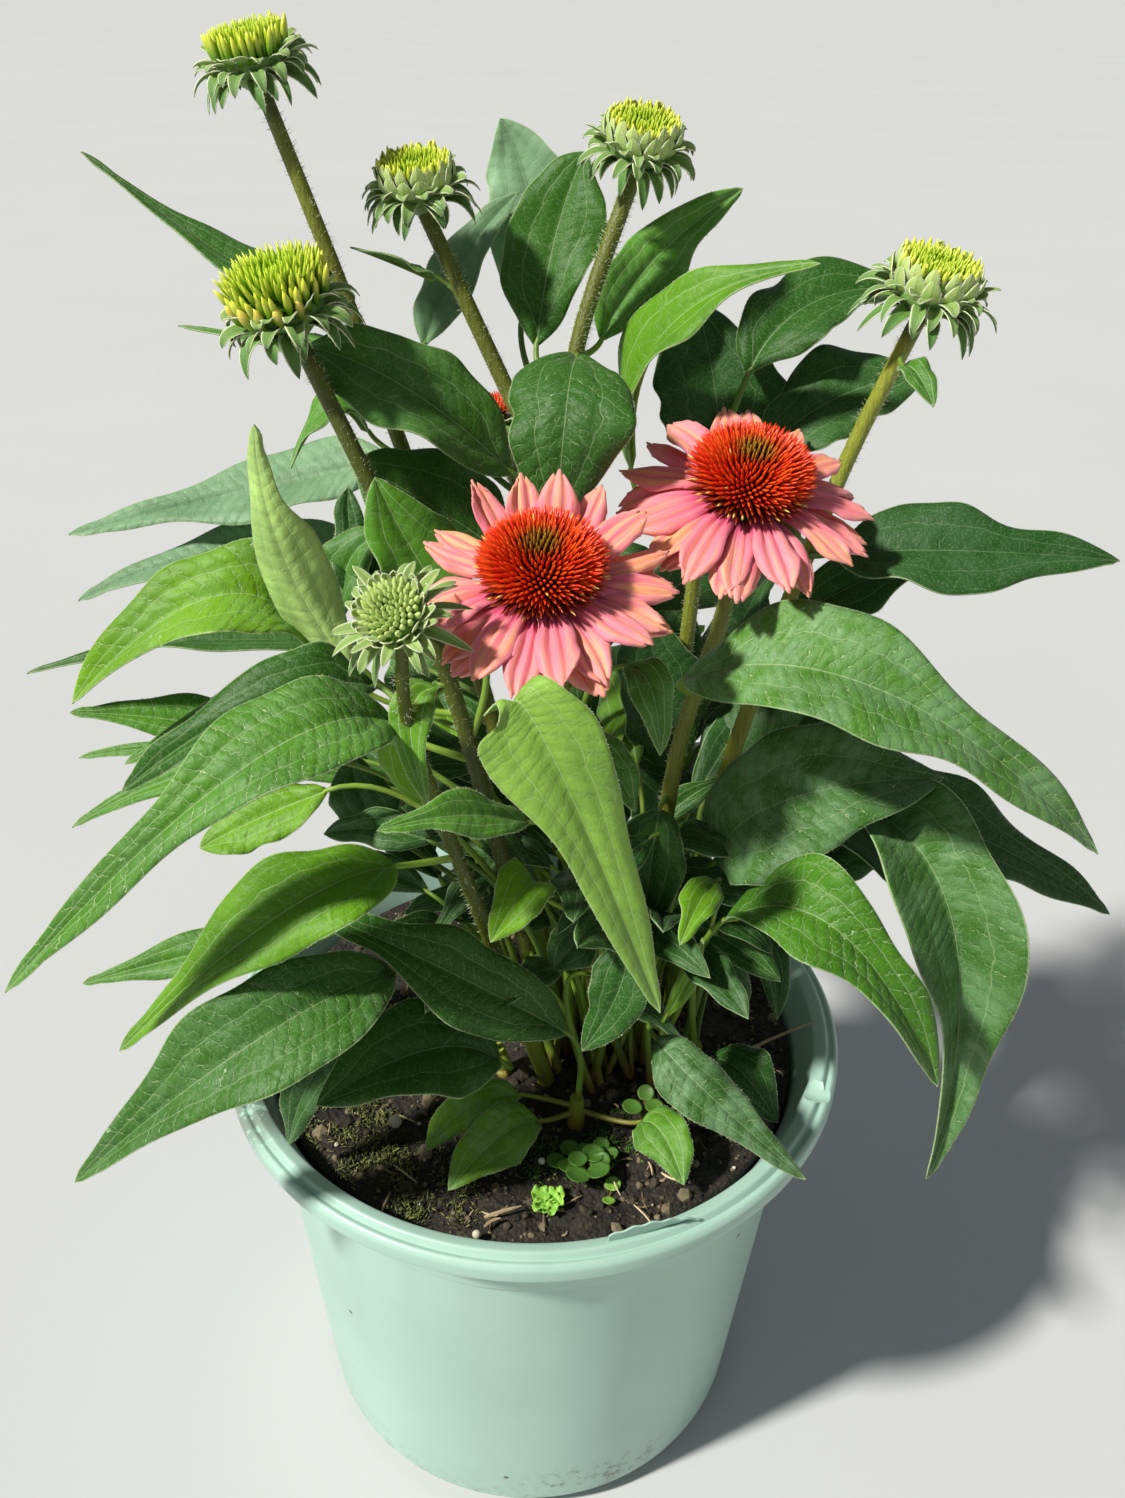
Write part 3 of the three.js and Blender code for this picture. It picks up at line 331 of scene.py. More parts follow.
SHOOTS = [
    dict(name="bud_shoot_1", foot=(12, 4), via=[(-21, 5, 312), (-49, 12, 399)], top=(-71, 19, 458), slim=1.9, stem=0.35,
         head=dict(kind="bud", face=(-0.2, -0.15, 1), size=1, style="crown"),
         leaves=[
             (396, (-53, 15, 402), (-86, 30, 414), (-124, 40, 438), 16, 30, 0.2, 0.5),
             (390, (-51, 16, 393), (-76, 25, 393), (-102, 32, 395), 10, 30, 0.35, 0.5),
             # these two have shades below 0: grey-green as painted sheen on leaves lit at a grazing angle
             (354, (-43, 26, 359), (-85, 27, 349), (-139, 20, 337), 24, 0, -0.3, 0.6),
             (318, (-40, 22, 324), (-90, 22, 331), (-138, 15, 318), 22, 0, -0.26, 0.6),
             (292, (-50, 14, 303), (-100, 12, 307), (-154, 6, 298), 15, 30, 0.15, 0.4),
             (258, (-55, 16, 262), (-104, 14, 276), (-146, 12, 281), 20, 0, 0.45, 0.6),
             (364, (-48, 13, 372), (-58, 13, 378), (-70, 10, 362), 12, 20, 0.5, 0.5),
             (236, (-45, 6, 258), (-95, 2, 274), (-141, 0, 272), 13, 0, 0.4, 0.6),
             (205, (-20, 26, 238), (-40, 66, 270), (-62, 106, 262), 29, 0, 0.3, 0.5),
             (212, (-8, 14, 240), (-14, 17, 228), (-22, 22, 208), 22, 0, 0.1, 0.4),
         ]),
    dict(name="bud_shoot_2", foot=(6, -9), via=[(-25, -30, 320), (-40, -22, 360)], top=(-62, -12, 406), stem=0.0,
         head=dict(kind="bud", face=(-0.25, -0.2, 1), size=1.22, style="brush"),
         leaves=[
             (290, (-58, -24, 314), (-80, -32, 343), (-124, -38, 313), 28, 0, 0.9, 0.8, dict(fold=0.4)),
             # shade above 1: a pale young green as painted light on this upright leaf
             (306, (-48, -34, 318), (-64, -38, 356), (-69, -33, 388), 17, -12, 1.42, 0.5, dict(fold=-0.5, grey=0.0)),
             (272, (-58, -24, 300), (-84, -28, 303), (-116, -30, 289), 17, 0, 0.4, 0.6),
             (248, (-60, -16, 282), (-100, -18, 279), (-139, -20, 260), 14, 0, 0.5, 0.6),
             (322, (-41, -22, 330), (-50, -12, 346), (-52, -4, 362), 14, 0, 0.08, 0.4),
             (232, (-60, -30, 281), (-79, -34, 274), (-96, -38, 266), 19, 0, 0.85, 0.7),
             (296, (-18, -30, 333), (-31, -27, 350), (-42, -24, 372), 24, 0, 0.55, 0.4),
             (300, (-55, -18, 329), (-51, -16, 346), (-42, -14, 352), 15, 0, 0.3, 0.3),
             (226, (-45, -8, 250), (-53, -8, 262), (-56, -8, 280), 20, 0, 0.12, 0.3),
         ]),
    dict(name="bud_shoot_3", foot=(27, 9), via=[(6, 6, 292), (2, 6, 362), (-10, 18, 383)], top=(-33, 28, 429),
         slim=2.1, stem=0.2,
         head=dict(kind="bud", face=(-0.1, -0.25, 1), size=1, style="scaled"),
         forks=[
             dict(start=352, via=[(9, 15, 395)], top=(24, 28, 440),
                  head=dict(kind="bud", face=(0.1, -0.3, 1), size=1, style="scaled")),
             dict(start=340, via=[(-6, 22, 352)], top=(-13, 34, 367),
                  head=dict(kind="young", face=(-0.15, -0.1, 1), size=0.72, style="young")),
         ],
         leaves=[
             (356, (-8, 1, 365), (-35, -7, 390), (-62, 4, 397), 28, 0, 0.25, 0.5),
             # shade below 0: grey-green as painted sheen
             (350, (-34, 36, 390), (-24, 46, 410), (-8, 54, 428), 17, 0, -0.2, 0.3),
             (404, (-29, 24, 411), (-39, 22, 415), (-51, 20, 419), 8, 50, 0.35, 0.3),
             (334, (-8, -2, 341), (-28, -6, 357), (-50, -7, 370), 34, 0, 0.2, 0.5),
             (216, (20, 14, 246), (19, 12, 226), (17, 12, 205), 22, 0, 0.1, 0.4),
         ],
         fork_leaves=[
             (388, (9, 8, 395), (6, -20, 390), (4, -25, 357), 32, 0, 0.16, 0.8, dict(fold=-0.14, grey=0.03)),
             (392, (16, 22, 396), (30, 36, 414), (55, 50, 431), 19, 30, 0.45, 0.5),
             (378, (-2, 30, 392), (3, 40, 420), (11, 46, 440), 27, 0, 0.2, 0.4),
             # shade below 0: grey-green as painted sheen
             (374, (-6, 44, 398), (-4, 58, 424), (-13, 62, 446), 26, 0, -0.35, 0.3),
         ]),
    dict(name="bud_shoot_4", foot=(47, 3), via=[(57, 0, 260), (62, -2, 290), (84, 9, 365)], top=(99, 8, 409),
         slim=2.2, stem=0.8,
         head=dict(kind="bud", face=(0.15, -0.2, 1), size=1.15, style="scaled"),
         leaves=[
             (396, (94, 1, 396), (96, -6, 396), (100, -12, 389), 8, 0, 0.35, 0.5),
             (340, (82, -4, 345), (112, -12, 350), (159, -10, 347), 28, 0, -0.02, 0.3, dict(grey=0.05)),
             (316, (74, -4, 326), (92, 2, 334), (115, 6, 341), 20, 0, 0.1, 0.4),
             (246, (93, -8, 266), (135, -10, 255), (186, -10, 224), 29, 0, 0.1, 0.5),
             (262, (89, -24, 277), (117, -57, 256), (121, -70, 168), 32, 0, 0.22, 0.75, dict(fold=0.85, grey=0.2)),
             (190, (64, 22, 216), (80, 50, 252), (94, 84, 240), 29, 0, 0.3, 0.5),
             (236, (54, 8, 254), (71, 10, 275), (89, 10, 283), 34, 0, 0.08, 0.4),
             (222, (82, -4, 235), (97, -6, 247), (113, -8, 265), 26, 0, 0.1, 0.4),
         ]),
    dict(name="bud_shoot_5", foot=(4, -27), via=[(-27, -49, 290), (-32, -66, 328)], top=(-31, -75, 356),
         slim=1.5, stem=0.1,
         head=dict(kind="bud", face=(-0.3, -0.8, 1), size=0.84, style="closed"),
         leaves=[
             (320, (-42, -44, 323), (-68, -58, 326), (-106, -62, 301), 22, 0, 0.15, 0.5),
             (306, (-36, -58, 320), (-68, -84, 323), (-129, -100, 267), 27, 0, 0.42, 1.0, dict(grey=0.09, waist=0.42)),
             (268, (-38, -56, 274), (-66, -78, 274), (-113, -80, 228), 25, 0, 0.72, 0.5),
             (328, (-24, -58, 331), (-31, -65, 326), (-27, -71, 304), 11, 0, 0.7, 0.5),
             (258, (-31, -44, 286), (-35, -50, 308), (-28, -54, 329), 14, 0, 0.9, 0.3),
         ]),
    dict(name="bloom_shoot_1", foot=(21, -13), via=[(12, -35, 282), (6, -45, 323)], top=(1, -53, 353), stem=0.5,
         head=dict(kind="bloom", face=(-0.04, -0.36, 1), lift=53, drop=-4, size=1.02),
         leaves=[
             # shade above 1: a pale young green as painted sunlight on this hanging leaf
             (318, (-6, -94, 345), (4, -99, 335), (32, -95, 258), 27, 14, 1.18, 0.5,
              dict(fold=0.06, hump=5.0, grey=0.0)),
             (284, (-2, -60, 292), (-19, -75, 304), (-38, -85, 306), 13, 0, 0.5, 0.5),
             (300, (13, -38, 304), (20, -42, 299), (27, -46, 286), 12, 0, 0.35, 0.5),
             (322, (22, -50, 333), (28, -58, 331), (31, -62, 314), 11, 0, 0.35, 0.5),
             (244, (26, -54, 250), (24, -62, 236), (14, -66, 216), 17, 0, 0.1, 0.4),
             (232, (0, -48, 262), (-3, -58, 268), (-12, -66, 256), 16, 0, 0.85, 0.5),
             (208, (18, -34, 236), (12, -35, 230), (6, -37, 221), 16, 0, 0.1, 0.4),
         ]),
    dict(name="bloom_shoot_2", foot=(36, -9), via=[(41, -18, 290), (50, -20, 335)], top=(53, -18, 363), stem=0.5,
         head=dict(kind="bloom", face=(0.05, -0.32, 1), lift=14, drop=-8, size=1.06),
         leaves=[
             (308, (39, -31, 319), (84, -60, 333), (150, -60, 284), 33, 0, 0.38, 0.9, dict(fold=0.16, grey=0.28)),
             (240, (54, -24, 254), (68, -40, 286), (114, -34, 291), 40, 0, 0.2, 0.9, dict(grey=0.24)),
             (196, (24, 20, 226), (32, 62, 270), (42, 100, 262), 29, 0, 0.2, 0.5),
             (272, (36, -24, 272), (34, -30, 258), (32, -32, 228), 20, 0, 0.15, 0.4),
         ]),
    dict(name="leafy_shoot", foot=(38, 18), via=[(44, 22, 260), (47, 23, 330)], top=(50, 26, 362), stem=0.5,
         leaves=[
             (330, (25, 14, 362), (32, 11, 401), (69, 0, 421), 22, -20, 0.68, 0.4, dict(fold=0.3, grey=0.0)),
             (358, (51, 30, 362), (50, 35, 378), (44, 45, 401), 38, 0, 0.05, 0.4),
             (352, (58, 28, 386), (74, 36, 403), (102, 45, 406), 26, 0, 0.12, 0.4),
             (346, (64, 18, 367), (82, 24, 380), (110, 33, 386), 28, 0, 0.1, 0.4),
             (236, (42, 14, 262), (38, 16, 290), (31, 18, 316), 28, 0, 0.06, 0.4),
             (206, (54, 10, 233), (43, 12, 249), (29, 12, 263), 30, 0, 0.06, 0.4),
         ]),
    dict(name="basal_leaves_left", foot=(-8, 4), via=[], top=(-12, 4, 176), stem=0.6,
         leaves=[
             (173, (-62, -8, 214), (-112, -12, 204), (-150, -12, 191), 16, 0, 0.35, 0.6),
             (170, (-38, 40, 206), (-60, 72, 228), (-82, 100, 214), 26, 0, 0.1, 0.5),
         ]),
    dict(name="basal_leaves_front", foot=(-10, -22), via=[], top=(-12, -24, 176), stem=0.6,
         leaves=[
             (173, (-40, -58, 238), (-72, -92, 244), (-126, -96, 194), 30, 0, 0.22, 1.0, dict(fold=0.3, grey=0.09)),
             (171, (-10, -54, 200), (-30, -68, 218), (-60, -84, 212), 29, 0, 0.15, 0.5),
             (169, (-50, -52, 210), (-64, -62, 203), (-74, -66, 176), 17, 0, 0.08, 0.4),
         ]),
    dict(name="basal_leaves_middle", foot=(14, -44), via=[], top=(14, -44, 174), stem=0.7,
         leaves=[
             (171, (10, -46, 204), (-25, -57, 238), (-62, -54, 257), 25, 0, 0.18, 0.7),
             # these two low oval leaves get pale greens and grey, painted light on leaves that stand in shadow
             (170, (-4, -44, 175), (-20, -54, 180), (-33, -60, 167), 14, 0, 0.9, 0.5, dict(grey=0.2)),
             (168, (2, -52, 172), (-10, -62, 176), (-25, -76, 168), 18, 0, 0.85, 0.6, dict(grey=0.2)),
             (169, (34, -52, 172), (40, -60, 176), (46, -74, 169), 17, 0, 0.65, 0.5),
         ]),
    dict(name="basal_leaves_right", foot=(54, -20), via=[], top=(54, -22, 176), stem=0.8,
         leaves=[
             (173, (54, -50, 252), (78, -78, 272), (109, -90, 228), 26, 0, 0.33, 1.0, dict(fold=0.4, grey=0.0)),
             (172, (36, -56, 212), (50, -74, 208), (79, -86, 186), 18, 0, 0.14, 1.0, dict(fold=-0.2, grey=0.26)),
             (170, (58, -32, 180), (66, -42, 184), (78, -50, 170), 18, 0, 0.1, 0.5),
             (171, (54, -14, 196), (62, -18, 204), (70, -22, 196), 14, 0, 0.1, 0.4),
             (172, (66, 2, 196), (77, -4, 202), (82, -14, 180), 14, 0, 0.1, 0.4),
             (172, (41, -40, 206), (47, -43, 226), (49, -45, 241), 6, 0, 0.95, 0.2),
         ]),
]
print(len(SHOOTS), "shoots,", sum(len(s["leaves"]) + len(s.get("fork_leaves", [])) for s in SHOOTS), "leaves")

# %% [markdown]
# ## Leaf finish
# A coneflower leaf is a rough, slightly hairy blade. A pale rib runs down its middle, two side nerves run from
# the base to near the tip, halfway to the edge, and between them short veins and a fine net sit in grooves, so
# that the leaf looks quilted. The pattern follows the blade, so it reads the leaf's own coordinates: how far
# across and along a point lies, and its place in millimetres for the net, whose cells are about 5 mm wide.
# Light passes through the thin blade a little, which subsurface scattering gives.

# %% Leaf finish
NERVE, OUTER_NERVE = 0.5, 0.8
VEIN_GAP, VEIN_LEAN = 4.2, 0.7
MESHES_PER_MM = 0.2


def leaf_finish(name, greens, veins, vein_share, groove, sheen):
    """The greens run from grey-green, a painted sheen, through dark, middle and bright to a pale young one, which
    serves as painted light, as the shade picks them.
    """
    material, add = new_material(name, 0.5, specular_ior_level=0.24, subsurface_weight=0.2, sheen_weight=sheen,
                                 subsurface_scale=0.0012, subsurface_radius=(0.5, 1.0, 0.12), sheen_roughness=0.45)
    flat = add("fact", attribute_name="flat")
    u, v, half = add("split", add("fact", attribute_name="blade"))
    along = add("split", flat)[1]
    shade, relief, painted_sheen = add("split", add("fact", attribute_name="tone"))
    wobble = add("noise", flat, 0.16)
    shift = add("minus", wobble, 0.5)
    wiggle = add("minus", add("noise", flat, 0.75, 1.0), 0.5)
    patchy = add("noise", flat, 0.1, 1.0)
    broken = add("noise", flat, 0.5, 1.0)
    side = add("size", u)
    from_rib = add("times", side, half)

    # the rib is 0.6 mm wide at the foot of the blade and a hair at its tip
    rib_width = add("minus", 0.32, add("times", v, 0.2))
    rib = add("step", from_rib, 0.05, rib_width, 1.0, 0.0)

    def nerve_line(reach, rise_end, fall, width):
        place = add("minus", add("step", v, 0.0, rise_end, 0.0, reach), add("step", v, 0.65, 1.0, 0.0, fall))
        bent = add("plus", side, add("times", shift, 0.2))
        off = add("size", add("minus", bent, place))
        return add("step", add("times", off, half), 0.2 * width, width, 1.0, 0.0)

    nerve = nerve_line(NERVE, 0.22, 0.2, 0.24)
    outer = add("times", nerve_line(OUTER_NERVE, 0.3, 0.1, 0.18), add("step", v, 0.35, 0.6, 1.0, 0.0))

    # ladder veins leave the rib, lean forward, wiggle and break off in places
    run = add("over", add("minus", along, add("times", from_rib, VEIN_LEAN)), VEIN_GAP)
    run = add("plus", add("plus", run, add("times", shift, 0.9)), add("times", wiggle, 0.55))
    near = add("zigzag", run, 0.5)
    gaps = add("times", add("step", patchy, 0.34, 0.54, 0.3, 1.0), add("step", broken, 0.36, 0.5))
    clear = add("times", gaps, add("step", relief, 0.2, 1.0, 0.12, 1.0))
    ladder = add("times", add("step", near, 0.008, 0.034, 1.0, 0.0), clear)

    # the net between them: thin broken lines round cells that are about 5 mm across
    netted = add("moved", add("scaled", wobble.node.outputs[1], (5.0, 5.0, 0)), flat)
    cells = add("cells", netted, MESHES_PER_MM, feature="DISTANCE_TO_EDGE")
    net = add("times", add("step", cells, 0.006, 0.022, 0.22, 0.0), add("step", broken, 0.3, 0.5, 0.4, 1.0))
    main = add("larger", add("times", nerve, 0.4), add("times", outer, 0.25))
    main = add("larger", add("times", rib, 0.6), main)
    vein = add("larger", main, add("larger", net, ladder))

    # colour: the shade picks the green, partly the leaf's own and partly painted light; then come patches of painted
    # grey sheen, blotches, speckle, painted shade along the sunken veins, the veins and the pale hairy edge
    grey, dark, middle, bright, young = greens
    body = add("mix", add("step", shade, 0.0, 0.5), dark, middle)
    body = add("mix", add("step", shade, 0.5, 1.0), body, bright)
    body = add("mix", add("step", shade, 1.0, 1.5), body, young)
    # shades below 0 turn the leaf grey-green, a painted sheen
    body = add("mix", add("step", shade, -0.4, 0.0, 1.0, 0.0), body, grey)
    # patches of painted grey sheen, as much as the row asks for, fewer near the ladder veins
    sheen_patches = add("times", add("step", add("noise", flat, 0.11, 3.0), 0.36, 0.64, 0.25, 1.7),
               add("step", near, 0.02, 0.2, 0.6, 1.0))
    body = add("mix", add("times", painted_sheen, sheen_patches), body, grey)
    body = add("mix", add("step", add("noise", flat, 0.05, 3.0), 0.4, 0.72, 0.0, 0.35), body, dark)
    speckle = add("noise", flat, 1.6)
    flecks = add("times", add("step", speckle, 0.48, 0.75, 0.0, 0.22), add("step", shade, 0.4, 0.9, 1.0, 0.2))
    body = add("mix", flecks, body, grey)
    # painted shade: darker bands along the ladder veins, where their grooves would be shaded
    body = add("mix", add("times", add("step", near, 0.0, 0.3, 0.16, 0.0), relief), body, dark)
    # on grey leaves the veins are tinted darker, painted shade in the sunken veins
    vein_tint = add("mix", add("step", shade, -0.25, 0.05), "#4d7a4c", veins)
    share = add("times", add("times", vein, vein_share), add("step", shade, -0.2, 0.45, 0.32, 1.0))
    body = add("mix", share, body, vein_tint)
    from_edge = add("minus", half, from_rib)
    body = add("mix", add("step", from_edge, 0.08, 0.36, 0.45, 0.0), body, "#c3d4a4")

    # relief: soft pillows between the veins
    puff = add("times", add("step", cells, 0.0, 0.35, 0.0, 0.5), relief)
    pillow = add("times", add("step", near, 0.0, 0.4, 0.0, 0.7), relief)
    height = add("plus", add("plus", puff, pillow), add("times", speckle, 0.3))
    height = add("plus", height, add("times", vein, groove))
    return dress(material, body, height, 0.5, 0.0005)


leaf_top = leaf_finish("leaf_top", ("#87aa83", "#1a470b", "#4c8212", "#6f9f02", "#b4d67c"), "#cfe0b0", 0.52, -0.4, 0.03)
leaf_under = leaf_finish("leaf_underside", ("#98b98f", "#33602a", "#5c8e34", "#8db82c", "#bcd992"), "#b9d09a", 0.5,
                         0.6, 0.12)

# %% [markdown]
# ## Leaf blade
# The real blade is a flat lance shape that arches over, with its halves swelling up on both sides of the sunken
# rib and its edges waved. A subdivided grid is the natural blank: its columns become the width and its rows the
# length, and each point is then set on the arched rib. Sculpting seventy leaves by hand would take a day, and a
# cloth simulation would not keep the leaf where the CAD has it.

# %% Leaf blade
TO_LIGHT = unit((-0.1, -0.7, 1))
STALK_HALF = 0.9
large_leaf, small_leaf, young_leaf = sheet_blank(20, 44), sheet_blank(12, 26), sheet_blank(8, 18)


def arch(start, middle, end, t):
    """Points and directions along the curve through three points."""
    start, middle, end = (np.asarray(p, float) for p in (start, middle, end))
    pull = 2 * middle - 0.5 * start - 0.5 * end
    t = np.asarray(t, float)[:, None]
    points = (1 - t) ** 2 * start + 2 * t * (1 - t) * pull + t ** 2 * end
    return points, unit(2 * (1 - t) * (pull - start) + 2 * t * (end - pull))


def lance(v, blunt):
    """Share of the widest half width along a blade. A blunt blade stays wide for longer."""
    first, last = 0.75, 1.2 - 0.35 * blunt
    widest = (first / (first + last)) ** first * (last / (first + last)) ** last
    return np.clip(v, 0, 1) ** first * np.clip(1 - v, 0, 1) ** last / widest


def leaf_frame(row, t):
    """Centre, sideways and upwards directions along the rib of a leaf."""
    _, base, middle, tip, _, roll = row[:6]
    centre, along = arch(base, middle, tip, t)
    chord = unit(np.subtract(tip, base))
    side = unit(np.cross(chord, TO_LIGHT))
    side = turned(side, np.cross(side, chord), math.radians(roll))[0]
    across = unit(side - (along @ side)[:, None] * along)
    return centre, across, np.cross(across, along)


def leaf_part(row, index, blank=None):
    """A blade on its arched rib, with the outline, folds and waves of its own."""
    width, shade, relief = row[4], row[6], row[7]
    special = row[8] if len(row) > 8 else {}
    blank = blank or (large_leaf if width >= 15 else small_leaf)
    u, v = blank["points"][:, 0], blank["points"][:, 1]
    own = np.random.default_rng(int(900 + 10 * row[0] + index))
    phase = own.uniform(0, TURN, 4)
    edge, side, full = np.sign(u), np.abs(u), min(1, width / 22)
    centre, across, upward = leaf_frame(row, v)
    twist = math.radians(own.uniform(-13, 13)) * (v - 0.35) * full
    upward, across = turned(upward, across, twist[:, None])

    # the outline: a lance with a waist, a wavy edge, a blunt tip and a foot as wide as the stalk
    length = np.linalg.norm(np.subtract(row[3], row[1])) * 1.08
    share = lance(v, np.clip((5.2 - length / width) / 2.4, 0, 1))
    waist = special.get("waist", own.uniform(0.16, 0.4) * np.clip(length / width - 2.2, 0, 1))
    share = share * (1 - waist * np.exp(-(((v - own.uniform(0.66, 0.8)) / 0.13) ** 2)))
    outline = 1 + full * (0.12 * np.sin(8.5 * v + phase[0] + 1.7 * edge) + 0.03 * np.sin(27 * v + phase[1] + 2 * edge))
    hump = special.get("hump", 0.0)
    if hump:
        share = share * np.sin(math.pi / 2 * np.clip(v / 0.46, 0, 1)) ** 1.1
    half = np.hypot(share * outline * width / 2, STALK_HALF * (1 - v) ** 8 + hump * (1 - v) ** 5) + 0.1
    half = np.maximum(half, min(2.5, width * 0.1) * np.sqrt(np.clip((1 - v) / 0.05, 0, 1)) * (v > 0.86))

    # the halves rise from the rib in a fold and swell, the edges wave, and the rib and the side nerves sink in
    fold = special.get("fold", own.uniform(0.06, 0.2))
    lift = fold * half * side ** 1.2 + np.minimum(1.1, 0.22 * half) * np.sin(math.pi * side)
    lift -= edge * 1.6 * share * np.sin(9 * v + index * 2.1) * min(1, width / 20) * side ** 1.6
    lift += 1.3 * full * share * np.sin(19 * v + phase[2] + 2.2 * edge) * side ** 3
    lift += 0.7 * full * share * np.sin(12 * v + phase[3]) * side
    lift -= 0.5 * np.exp(-((u * half / 0.9) ** 2)) * (1 - v)
    nerve = NERVE * np.clip(v / 0.22, 0, 1) - 0.2 * np.clip((v - 0.7) / 0.3, 0, 1)
    groove = (0.3 + 0.6 * relief) * np.clip(half / 9, 0, 1) * (v > 0.1)
    lift -= groove * np.exp(-(((side - nerve) * half / 1.3) ** 2))
    facts = {
        "blade": np.stack([u, v, half], 1),
        "flat": np.stack([u * half + 57 * index, v * length + 31 * index, 0 * u], 1),
        # the third tone number is the leaf's share of painted grey sheen
        "tone": (shade, relief, special.get("grey", own.uniform(0, 0.1))),
    }
    return blank, centre + across * (u * half)[:, None] + upward * lift[:, None], 0, facts


# %% [markdown]
# ## Stem finish
# The stems are ribbed lengthwise, olive to brownish, and yellow-green near the soil and on the youngest. Short
# stiff hairs stand all over them and catch the light as a white fuzz, so they are modelled as fine three-sided
# spikes. A shade number on the stem picks its green.

# %% Stem finish
def stem_finish():
    material, add = new_material("stem_skin", 0.5, subsurface_weight=0.1, subsurface_scale=0.002)
    place = add("place")
    shade = add("split", add("fact", attribute_name="tone"))[0]
    height = add("split", place)[2]
    streak = add("noise", add("squeezed", place, (1500, 1500, 90)), 1.0, 3.0)
    patch = add("noise", place, 45.0, 2.0)
    body = add("mix", shade, "#434e08", "#98a030")
    body = add("mix", add("step", streak, 0.45, 0.7, 0.0, 0.35), body, "#3c380a")
    body = add("mix", add("step", patch, 0.45, 0.75, 0.0, 0.35), body, "#747f22")
    body = add("mix", add("step", height, 0.17, 0.25, 0.75, 0.0), body, "#94a238")
    body = add("mix", add("step", height, 0.158, 0.176, 0.7, 0.0), body, "#6e3a24")
    return dress(material, body, streak, 0.6, 0.0005)


def stalk_finish():
    material, add = new_material("leaf_stalk", 0.48, subsurface_weight=0.15, subsurface_scale=0.0015)
    place = add("place")
    body = add("mix", add("split", add("fact", attribute_name="tone"))[0], "#587a2a", "#8db23a")
    body = add("mix", add("step", add("noise", place, 120.0, 2.0), 0.4, 0.7, 0.0, 0.4), body, "#6d7c36")
    body = add("mix", add("step", add("split", place)[2], 0.162, 0.182, 0.75, 0.0), body, "#7a3b22")
    return dress(material, body)


def hair_finish():
    material, add = new_material("plant_hair", 0.6, subsurface_weight=0.2, subsurface_scale=0.001)
    return dress(material, add("mix", add("noise", add("place"), 200.0), "#c2cb98", "#eaeccf"))


stem_skin, leaf_stalk, plant_hair = stem_finish(), stalk_finish(), hair_finish()

# %% [markdown]
# ## Stems and stalks
# A stem is a round, tapering line through a few known points. That is what a curve object is for: its points
# carry a radius, a round bevel gives it body, and it is then turned into a mesh. The smooth line through the
# points is a centripetal Catmull-Rom curve, which never loops or overshoots between uneven points.

# %% Stems and stalks
def smooth_line(points, count):
    """`count` + 1 evenly spaced points on the centripetal Catmull-Rom curve through the given ones."""
    points = [np.asarray(p, float) for p in points]
    ends = [2 * points[0] - points[1], *points, 2 * points[-1] - points[-2]]
    dense = []
    for p0, p1, p2, p3 in zip(ends, ends[1:], ends[2:], ends[3:]):
        d0, d1, d2 = (math.sqrt(np.linalg.norm(b - a)) for a, b in ((p0, p1), (p1, p2), (p2, p3)))
        m1 = ((p1 - p0) / d0 - (p2 - p0) / (d0 + d1) + (p2 - p1) / d1) * d1
        m2 = ((p2 - p1) / d1 - (p3 - p1) / (d1 + d2) + (p3 - p2) / d2) * d1
        t = np.linspace(0, 1, 121)[:-1, None]
        dense.append(p1 + m1 * t + (3 * (p2 - p1) - 2 * m1 - m2) * t ** 2 + (2 * (p1 - p2) + m1 + m2) * t ** 3)
    dense = np.concatenate([*dense, points[-1][None]])
    travelled = np.concatenate([[0], np.cumsum(np.linalg.norm(np.diff(dense, axis=0), axis=1))])
    wanted = np.linspace(0, travelled[-1], count + 1)
    return np.stack([np.interp(wanted, travelled, dense[:, k]) for k in range(3)], 1)


def at_height(line, height):
    above = np.nonzero(line[:, 2] >= height)[0]
    return line[above[0] if len(above) else -1]


def tubes(name, lines, material, sides):
    """Round tubes as one object. Each line is (points in mm, radii in mm, shade)."""
    bpy.ops.curve.primitive_nurbs_path_add(location=(0, 0, 0))
    path = bpy.context.object
    path.name = path.data.name = name
    path.data.splines.clear()
    path.data.bevel_depth = MM
    path.data.bevel_resolution = max(0, sides // 2 - 2)
    path.data.use_fill_caps = True
    for points, radii, _ in lines:
        spline = path.data.splines.new("POLY")
        spline.points.add(len(points) - 1)
        for knot, point, radius in zip(spline.points, points, radii):
            knot.co = (*(np.asarray(point) * MM), 1)
            knot.radius = radius
    choose(path)
    bpy.ops.object.convert(target="MESH")
    piece = bpy.context.object
    mesh = piece.data
    mesh.materials.clear()
    mesh.materials.append(material)
    counts = [len(points) for points, _, _ in lines]
    per_point = len(mesh.vertices) // sum(counts)
    shades = np.repeat([shade for _, _, shade in lines], [count * per_point for count in counts])
    tone = np.zeros((len(mesh.vertices), 3), np.float32)
    tone[:len(shades), 0] = shades
    mesh.attributes.new("tone", "FLOAT_VECTOR", "POINT").data.foreach_set("vector", tone.ravel())
    mesh.polygons.foreach_set("use_smooth", np.full(len(mesh.polygons), True))
    return piece


